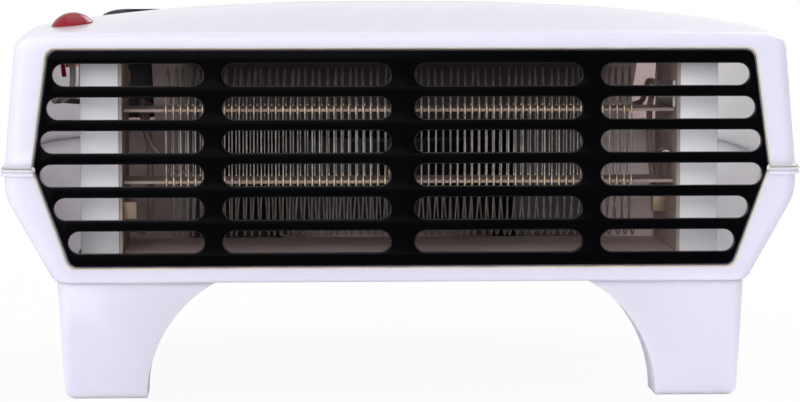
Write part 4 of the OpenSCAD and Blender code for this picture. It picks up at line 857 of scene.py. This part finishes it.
def plain_finishes():
    """The finishes of the nodes, by material slot."""
    return {
        "white_housing": housing_white(),
        "black_grille": grille_black(),
        "panel_white": panel_enamel(),
        "mica": mica_sheet(),
        "duct_sheet": duct_steel(),
        "resistance_wire": wire_alloy(),
        "brass": finish("brass_tab", (0.44, 0.33, 0.24), 0.5, metallic=0.6, tone=0.3,
                        tone_scale=150),
        "steel": finish("zinc_steel", (0.56, 0.56, 0.58), 0.38, metallic=1.0, tone=0.15,
                        tone_scale=90),
        "lamination_steel": finish("stacked_steel", (0.20, 0.19, 0.19), 0.5, metallic=0.8,
                                   tone=0.3, tone_scale=40, depth=0.2, grain=700,
                                   stretch=(0.02, 0.02, 2.0)),
        "winding": finish("varnished_copper", (0.46, 0.14, 0.05), 0.3, metallic=0.6, tone=0.4,
                          tone_scale=90, depth=0.15, stretch=(2.0, 0.05, 0.05)),
        "wheel_black": black_plastic("wheel_plastic", (0.014, 0.014, 0.016)),
        "knob_black": black_plastic("knob_plastic", (0.015, 0.013, 0.024), 0.48, 0.02,
                                    grain=1400, Specular_IOR_Level=0.04),
        "control_black": black_plastic("control_plastic", (0.016, 0.016, 0.018)),
        "insulator": finish("pale_insulator", (0.68, 0.66, 0.58), 0.45, tone=0.08),
        "red_lens": lens_red(),
        "lamp_glass": finish("neon_glass", (0.90, 0.52, 0.36), 0.08, depth=0.002,
                             Transmission_Weight=0.7, IOR=1.45),
        "lead_black": black_plastic("lead_sheath", (0.012, 0.012, 0.013), 0.45),
    }


# Nodes that differ from the other nodes of their material slot
OWN_FINISH = {"duct_top": duct_lit_and_shaded, "scroll_wall": duct_lit_and_shaded,
              "heater_leads": braided_sleeve, "lamp_leads": pale_sleeve}


# ---------------------------------------------------------------- operators

class HEATER_OT_stage(bpy.types.Operator):
    """Pale floor, white surroundings, soft lamps and the camera at the photograph's view"""
    bl_idname = "heater.stage"
    bl_label = "Stage and camera"

    def execute(self, context):
        self.white_world(context)
        self.floor(context)
        self.lamps(context)
        self.camera(context)
        return {"FINISHED"}

    def white_world(self, context):
        """Pale grey that lights the object, and white where it is seen, mirrored or refracted."""
        world = context.scene.world = bpy.data.worlds.new("studio")
        world.use_nodes = True
        tree = world.node_tree
        tree.nodes.clear()
        path = tree.nodes.new("ShaderNodeLightPath").outputs
        seen = calc(tree, "MAXIMUM", path["Is Camera Ray"], path["Is Glossy Ray"])
        seen = calc(tree, "MAXIMUM", seen, path["Is Transmission Ray"])
        light = add(tree, "ShaderNodeBackground", {"Color": (0.98, 0.98, 1.0, 1),
                                                   "Strength": 0.45})
        white = add(tree, "ShaderNodeBackground", {"Color": (1, 1, 1, 1), "Strength": 1.0})
        mix = add(tree, "ShaderNodeMixShader", {0: seen, 1: light.outputs[0],
                                                2: white.outputs[0]})
        add(tree, "ShaderNodeOutputWorld", {"Surface": mix.outputs[0]})

    def floor(self, context):
        """Flat grid of squares on the ground, most of it behind the heater."""
        half, back, count = 3.0, 0.8, 12
        x, row = np.linspace(-half, half, count + 1), count + 1
        gx, gy = np.meshgrid(x, x + back, indexing="ij")
        verts = np.column_stack([gx.ravel(), gy.ravel(), np.zeros(gx.size)])
        i, j = np.meshgrid(np.arange(count), np.arange(count), indexing="ij")
        a = i * row + j
        faces = np.stack([a, a + row, a + row + 1, a + 1], -1).reshape(-1, 4)
        mesh = bpy.data.meshes.new("floor")
        mesh.from_pydata(verts.tolist(), [], faces.tolist())
        mesh.materials.append(finish("pale_floor", (0.93, 0.93, 0.94), 0.6, tone=0.01,
                                     tone_scale=3, depth=0.01, extra=self.whiten,
                                     Specular_IOR_Level=0.2))
        floor = placed("floor", mesh)

    @staticmethod
    def whiten(tree, shader):
        """A camera ray sees most of the floor as even white, so its shadow stays faint."""
        away = add(tree, "ShaderNodeVectorMath", {0: own_place(tree)}, operation="LENGTH")
        share = ramp(tree, away.outputs["Value"], 0.15, 0.8, 0.92, 1.0)
        path = tree.nodes.new("ShaderNodeLightPath")
        part = calc(tree, "MULTIPLY", path.outputs["Is Camera Ray"], share)
        white = add(tree, "ShaderNodeEmission", {"Strength": 1.0})
        mix = add(tree, "ShaderNodeMixShader", {0: part, 1: shader.outputs[0],
                                                2: white.outputs[0]})
        feed(tree, tree.nodes["Material Output"], {"Surface": mix.outputs[0]})

    def lamps(self, context):
        """Rectangular lamps, each aimed at the middle of the heater."""
        middle = Vector((0, 0, 0.07))
        for name, place, wide, high, power in (
                ("front", (-0.9, -2.1, 0.60), 2.4, 0.8, 27.5),
                ("left", (-1.6, -0.8, 0.7), 0.9, 0.9, 2.0),
                ("back", (1.1, 1.3, 1.4), 1.6, 1.0, 20.0),
                ("top", (0.0, 0.1, 1.6), 1.4, 1.4, 5.5)):
            data = bpy.data.lights.new(name, "AREA")
            data.energy, data.shape, data.size, data.size_y = power, "RECTANGLE", wide, high
            lamp = placed(name, data)
            lamp.location = place
            lamp.rotation_euler = (middle - Vector(place)).to_track_quat("-Z", "Y").to_euler()

    def camera(self, context):
        """Camera at the photograph's place, turned by its yaw and tilted by its pitch."""
        s = context.scene.heater_stage
        data = bpy.data.cameras.new("view")
        data.sensor_fit, data.sensor_width = "HORIZONTAL", 36.0
        data.lens = s.focal / 800.0 * data.sensor_width
        camera = placed("view", data)
        ahead = Vector((math.sin(s.yaw) * math.cos(s.pitch), math.cos(s.yaw) * math.cos(s.pitch),
                        math.sin(s.pitch)))
        right = Vector((math.cos(s.yaw), -math.sin(s.yaw), 0))
        turn = Matrix((right, right.cross(ahead), -ahead)).transposed().to_4x4()
        place = Vector((s.side, -sizes().depth / 2 - s.distance, s.height))
        camera.matrix_world = Matrix.Translation(place) @ turn
        context.scene.camera = camera
        context.scene.view_settings.view_transform = "Standard"


class HEATER_OT_finishes(bpy.types.Operator):
    """Gives every CAD node the finish of its material slot"""
    bl_idname = "heater.finishes"
    bl_label = "Finishes of the CAD nodes"

    def execute(self, context):
        finishes = plain_finishes()
        for part in frame["record"]["subparts"]:
            slots = frame["nodes"][part["node"]].data.materials
            own = OWN_FINISH.get(part["node"])
            slots.clear()
            slots.append(own() if own else finishes[part["material_slot"]])
        return {"FINISHED"}


class HEATER_OT_upper_housing(bpy.types.Operator):
    """Upper housing with its crowned top, wells, opening and bead"""
    bl_idname = "heater.upper_housing"
    bl_label = "Upper housing"

    def execute(self, context):
        s = sizes()
        seam = seam_z()
        outer = upper_form(0, 0, seam, s.side_round, s.front_round)
        inner = upper_form(s.wall, s.front_wall, seam - 0.005, s.side_round - s.wall, 0.0006)
        wells, seats, holes = [], [], []
        past = 0.05
        for x, y in KNOB_PLACES:
            top, z, r = height(x, y), well_floor(x, y), KNOB_R + KNOB_GAP
            seats.append(bore(r + s.wall, z - s.wall, z + past, (x, y, 0)))
            wells.append(spun([(AXIS_R, z), (r - 0.0008, z), (r, z + 0.0008), (r, top + past),
                               (AXIS_R, top + past)], (x, y, 0)))
            holes.append(bore(SPINDLE_HOLE_R, z - 0.02, z + 0.001, (x, y, 0), 48))
        seat, hole = LENS_R + 0.0001, LENS_R - 0.0012
        holes.append(moved(lens_frame(), spun(
            [(AXIS_R, -0.02), (hole, -0.02), (hole, -s.wall), (seat, -s.wall), (seat, 0.03),
             (AXIS_R, 0.03)], (0, 0, 0))))
        for x in np.arange(-3, 4) * LOUVRE_PITCH:
            holes.append(block((x - LOUVRE_W / 2, s.depth / 2 - 0.025, seam + LOUVRE_LOW),
                               (x + LOUVRE_W / 2, s.depth / 2 + 0.03, seam + LOUVRE_HIGH)))
        holes.append(cord_bore())
        shell = carve(solid_mesh("upper_shell", [outer]), [
            ("DIFFERENCE", [carve_parts(inner, seats)]), ("UNION", [bead_band(upper_bead)]),
            ("DIFFERENCE", [grille_cut()]),
            ("DIFFERENCE", wells), ("DIFFERENCE", holes)])
        piece = finish_piece("upper_shell", shell, housing_white(), "root", 28)
        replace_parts(piece, "upper_housing")
        inner_faces(shell, seam + LOOK_LEVEL, housing_shade_over_duct())
        return {"FINISHED"}


def inner_faces(shell, level, middle):
    """Gives the inner side of a housing half its own finishes: painted light, a lighter white, in
    the right chamber, painted shade, a greyer white, in the left one, and painted shade in the
    middle. The chamfer round the grille's opening carries a painted cream highlight, and the
    joint between the halves the same tan. Inner faces look towards the middle of the body at a
    level. Edge faces lie near the grille's outline, just behind the front face, and don't face
    forward, or lie in the joint."""
    centre, normal = rows_of(shell.polygons, "center"), rows_of(shell.polygons, "normal")
    a = grille_outline(-0.0002)
    b = np.roll(a, -1, 0) - a
    way = centre[:, None, [0, 2]] - a[None]
    t = np.clip(np.einsum("mni,ni->mn", way, b) / np.einsum("ni,ni->n", b, b), 0, 1)
    away = np.linalg.norm(way - t[..., None] * b[None], axis=2).min(axis=1)
    behind = centre[:, 1] + sizes().depth / 2
    chamfer, joint, front_rim = 0.0008, seam_z() + 0.00033, 0.003
    # Faces for the cream painted highlight round the opening, and the joint faces.
    edge = (away < 0.0007) & (behind > 0.00002) & (behind < chamfer)
    edge &= np.abs(normal[:, 1]) < 0.95
    edge |= np.abs(centre[:, 2] - joint) < 0.0001
    inside = (np.einsum("ij,ij->i", normal, centre - [0, 0, level]) < 0) & (behind > front_rim)
    for material in (housing_edge_highlight_and_joint(), housing_inside_lit(), middle, housing_shaded()):
        shell.materials.append(material)
    x = centre[:, 0]
    # Painted light in the right chamber (2), painted shade in the middle (3) and the left one (4).
    shade = np.where(np.abs(x) < CHAMBER_X, 3, np.where(x < 0, 4, 2)) * inside
    shell.polygons.foreach_set("material_index", np.where(edge, 1, shade).astype(np.int32))


def carve_parts(form, taken):
    """A solid with others taken off it, as parts."""
    mesh = carve(solid_mesh("inside", [form]), [("DIFFERENCE", taken)])
    verts, faces = rows_of(mesh.vertices, "co"), [list(p.vertices) for p in mesh.polygons]
    bpy.data.meshes.remove(mesh)
    return verts, faces


def well_floor(x, y):
    """Height of a knob well's floor: the knob's top stands just proud of the housing."""
    return height(x, y) + KNOB_PROUD - KNOB_H - KNOB_LIFT


def height(x, y):
    """Height of the crowned top over one point."""
    return float(top_z(np.array([x]), np.array([y]))[0])


def lens_frame():
    """Matrix of the lens: it stands square on the top, so its axis is the normal there."""
    x, y = -sizes().width / 2 + LENS_FROM_SIDE, -sizes().depth / 2 + LENS_FROM_FRONT
    step = 0.0005
    lean = height(x + step, y) - height(x - step, y)
    nod = height(x, y + step) - height(x, y - step)
    up = Vector((-lean, -nod, 2 * step)).normalized()
    across = Vector((0, 1, 0)).cross(up).normalized()
    return Matrix.Translation((x, y, height(x, y))) @ Matrix(
        (across, up.cross(across), up)).transposed().to_4x4()


def moved(matrix, part):
    """A part carried through a matrix."""
    verts, faces = part
    m = np.array(matrix)
    return np.asarray(verts) @ m[:3, :3].T + m[:3, 3], faces


def cord_bore():
    """Round hole for the cord bush through the rear wall."""
    low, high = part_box("cord_bush")
    x, z = (low.x + high.x) / 2, (low.z + high.z) / 2
    verts, faces = bore(CORD_HOLE_R, -0.02, 0.05, count=48)
    return np.column_stack([x + verts[:, 0], low.y + verts[:, 2], z - verts[:, 1]]), faces


class HEATER_OT_lower_housing(bpy.types.Operator):
    """Lower housing with its slanted sides, opening, inlet and bead"""
    bl_idname = "heater.lower_housing"
    bl_label = "Lower housing"

    def execute(self, context):
        s = sizes()
        low, seam = s.leg_height, seam_z()
        outer = lower_form(0, 0, low, seam)
        inner = lower_form(s.wall, s.front_wall, low + s.wall, seam + 0.005)
        holes = [bore(INLET_R, low - 0.005, low + 0.03, (0, 0.020, 0))]
        for side in (-1, 1):
            holes += [bore(SCREW_HOLE_R, low - 0.005, low + 0.008, (side * x, y, 0), 32)
                      for x, y in SCREW_PLACES]
        shell = carve(solid_mesh("lower_shell", [outer]), [
            ("DIFFERENCE", [inner]), ("UNION", [bead_band(lower_bead)]),
            ("DIFFERENCE", [grille_cut()]), ("DIFFERENCE", holes)])
        white = housing_white()
        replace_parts(finish_piece("lower_shell", shell, white, "root", 28), "lower_housing")
        inner_faces(shell, seam - LOOK_LEVEL, housing_shade_under_duct())
        ends = finish_piece("bead_ends", solid_mesh("bead_ends", bead_ends()), white, "root")
        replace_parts(ends, "lower_housing")
        return {"FINISHED"}


class HEATER_OT_grille(bpy.types.Operator):
    """Black grille plate with rounded slots"""
    bl_idname = "heater.grille"
    bl_label = "Grille"

    def execute(self, context):
        g = grille_sizes()
        front = -sizes().depth / 2 + 0.0002
        parts = upright(plate(grille_outline(g.gap), grille_slots(), front, front + g.thickness,
                              0.0004))
        mesh = solid_mesh("grille_plate", parts)
        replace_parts(finish_piece("grille_plate", mesh, grille_black(), "root", 40), "front_grille")
        return {"FINISHED"}


class HEATER_OT_lens(bpy.types.Operator):
    """Red lens: a shallow dome with its collar and two snap legs"""
    bl_idname = "heater.lens"
    bl_label = "Indicator lens"

    def execute(self, context):
        wall = sizes().wall
        rise, ring_w, leg_top = LENS_RISE - 0.0003, 0.0013, -wall - 0.0055
        dome = (LENS_R ** 2 + rise ** 2) / (2 * rise)
        q = np.linspace(0.002, 1, 22) * math.asin(LENS_R / dome)
        cap = np.column_stack([dome * np.sin(q), LENS_RISE - dome * (1 - np.cos(q))])
        collar = LENS_R - 0.0014
        foot, hollow = -wall - 0.006, collar - ring_w
        profile = np.vstack([cap, [(LENS_R, -wall), (collar, -wall), (collar, foot),
                                   (hollow, foot), (hollow, -0.0012), (0.00002, -0.001)]])
        parts = [spun(profile[::-1], (0, 0, 0))]
        t = np.linspace(-1, 1, 9) * math.asin(0.002 / collar)
        levels = ((-wall - 0.0152, 0.97), (-wall - 0.0145, 1), (-wall - 0.010, 1), (leg_top, 1))
        for side in (0, math.pi):
            outer = np.column_stack([np.cos(t + side), np.sin(t + side)])
            ring = np.vstack([outer * collar, outer[::-1] * hollow])
            parts.append(skin(np.array([flat_ring(ring * share, z) for z, share in levels])))
        mesh = solid_mesh("lens_dome", [moved(lens_frame(), part) for part in parts])
        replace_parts(finish_piece("lens_dome", mesh, lens_red(), "root", 30), "indicator_lens")
        return {"FINISHED"}


class HEATER_OT_softened(bpy.types.Operator):
    """Moulded and bent parts with their edges rounded"""
    bl_idname = "heater.softened"
    bl_label = "Rounded parts"

    def execute(self, context):
        finishes = plain_finishes()
        slots = {part["node"]: part["material_slot"] for part in frame["record"]["subparts"]}
        for node, (width, body) in SOFTENED.items():
            mesh = softened(node, width)
            piece = finish_piece(node + "_round", mesh, finishes[slots[node]], body, 40)
            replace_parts(piece, node)
        return {"FINISHED"}


SOFTENED = {
    "left_leg": (0.0010, "root"), "right_leg": (0.0010, "root"),
    "left_rear_foot": (0.0008, "root"), "right_rear_foot": (0.0008, "root"),
    "left_partition": (0.0003, "root"), "right_partition": (0.0003, "root"),
    "thermostat_knob": (0.0004, "thermostat_control"),
    "selector_knob": (0.0004, "selector_control"),
    "thermostat_body": (0.0006, "root"), "selector_switch": (0.0006, "root"),
    "terminal_block": (0.0005, "root"), "cord_clamp": (0.0005, "root"),
    "cord_bush": (0.0005, "root"), "wire_terminals": (0.0002, "root"),
}


def softened(node, width):
    """Copy of a CAD node: doubles merged, flat triangles joined, and each sharp edge rounded in
    two steps."""
    bm = bmesh.new()
    bm.from_mesh(frame["nodes"][node].data)
    bmesh.ops.remove_doubles(bm, verts=bm.verts, dist=2e-6)
    bmesh.ops.dissolve_limit(bm, angle_limit=math.radians(0.4), verts=bm.verts, edges=bm.edges)
    sharp = [e for e in bm.edges if len(e.link_faces) == 2
             and e.calc_face_angle() > math.radians(SHARP)]
    bmesh.ops.bevel(bm, geom=sharp, offset=width, offset_type="OFFSET", segments=2, profile=0.5,
                    affect="EDGES", clamp_overlap=True)
    mesh = bpy.data.meshes.new(node + "_round")
    bm.to_mesh(mesh)
    bm.free()
    return mesh


class HEATER_OT_wires(bpy.types.Operator):
    """Two resistance wires, each wound round the mica strips as a flattened coil"""
    bl_idname = "heater.wires"
    bl_label = "Heating wires"

    def execute(self, context):
        sides, most_bulge = 6, 0.35
        for name, side in (("left_heating_wire", -1), ("right_heating_wire", 1)):
            path, bulge = self.coil(context, side)
            radius = context.scene.heater_element.wire / 2 * (1 + most_bulge * bulge)
            verts, faces = tube(path, radius, sides)
            piece = new_piece(name.replace("heating_wire", "coil"), verts, faces, wire_alloy(),
                              "root", 60)
            # The swell of the wire also masks its painted brassy highlight.
            crimp_and_glint = piece.data.attributes.new("crimp_and_glint", "FLOAT", "POINT")
            crimp_and_glint.data.foreach_set("value", np.repeat(bulge, sides).astype(np.float32))
            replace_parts(piece, name)
        return {"FINISHED"}

    def coil(self, context, side):
        """A turn goes up at the front, over a narrow tip, down at the rear half a pitch on and
        under to the next turn. Each turn has the same points, moved by the pitch; two slow sines
        lean the runs a little, and the wire swells where a strip holds it."""
        e = context.scene.heater_element
        upper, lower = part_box("upper_mica_strip"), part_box("lower_mica_strip")
        notch, lean_slow, lean_fast = 0.0005, 0.00040, 0.00030
        front, rear = upper[0].y + notch, upper[1].y - notch
        mid = (front + rear) / 2
        low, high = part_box("left_heating_wire")
        top, bottom = high.z - e.wire / 2, low.z + e.wire / 2
        crimp_and_glint = (-0.0016, 0.0), (-0.0007, 0.8), (0, 1.0), (0.0007, 0.8), (0.0016, 0.0)
        held = []
        for strip in (lower, upper):
            z = (strip[0].z + strip[1].z) / 2
            held += [(z + off, swell) for off, swell in crimp_and_glint]
        held.insert(5, ((lower[1].z + upper[0].z) / 2, 0.0))
        run = [(0.0, front, z, k) for z, k in held]
        bend = ((0.30, -0.0030, 0.0016), (0.46, -0.0008, 0), (0.54, 0.0008, 0),
                (0.70, 0.0030, 0.0016))
        over = [(at, mid + across, top - drop, 0) for at, across, drop in bend]
        back = [(1.0, rear, z, k) for z, k in held[::-1]]
        under = [(1 + at, mid - across, bottom + drop, 0) for at, across, drop in bend]
        turn = np.array(run + over + back + under)
        turn[:, 0] *= e.pitch / 2
        number = np.arange(e.turns)
        path = np.repeat(turn[None], e.turns, 0)
        path[:, :, 0] += (e.pitch * (number + (-e.turns if side < 0 else 1)))[:, None]
        lean = lean_slow * np.sin(0.9 * number + side) + lean_fast * np.sin(2.3 * number)
        loose = np.clip((turn[:, 2] - upper[1].z) / (top - upper[1].z), 0, 1) - np.clip(
            (lower[0].z - turn[:, 2]) / (lower[0].z - bottom), 0, 1)
        path[:, :, 0] += lean[:, None] * loose[None]
        return path[..., :3].reshape(-1, 3), path[..., 3].ravel()


PIECES = (HEATER_OT_stage, HEATER_OT_finishes, HEATER_OT_upper_housing, HEATER_OT_lower_housing,
          HEATER_OT_grille, HEATER_OT_lens, HEATER_OT_softened, HEATER_OT_wires)
GROUPS = {"heater_body": HeaterBodySizes, "heater_grille": HeaterGrilleSizes,
          "heater_element": HeaterElementSizes, "heater_colours": HeaterColours,
          "heater_stage": HeaterStageSettings}


class HEATER_PT_panel(bpy.types.Panel):
    """Sizes, colours and steps of the fan heater"""
    bl_idname = "HEATER_PT_panel"
    bl_label = "Fan heater"
    bl_space_type = "VIEW_3D"
    bl_region_type = "UI"
    bl_category = "Heater"

    def draw(self, context):
        for label in GROUPS:
            group = getattr(context.scene, label)
            box = self.layout.box()
            for name in group.bl_rna.properties.keys():
                if name not in ("rna_type", "name"):
                    box.prop(group, name)
        for piece in PIECES:
            self.layout.operator(piece.bl_idname)


CLASSES = (*GROUPS.values(), *PIECES, HEATER_PT_panel)


def register():
    for kind in CLASSES:
        bpy.utils.register_class(kind)
    for label, group in GROUPS.items():
        setattr(bpy.types.Scene, label, PointerProperty(type=group))


def unregister():
    for label in GROUPS:
        delattr(bpy.types.Scene, label)
    for kind in reversed(CLASSES):
        bpy.utils.unregister_class(kind)


def main():
    """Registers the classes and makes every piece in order."""
    register()
    for piece in PIECES:
        family, step = piece.bl_idname.split(".")
        getattr(getattr(bpy.ops, family), step)()


if __name__ == "__main__":
    main()
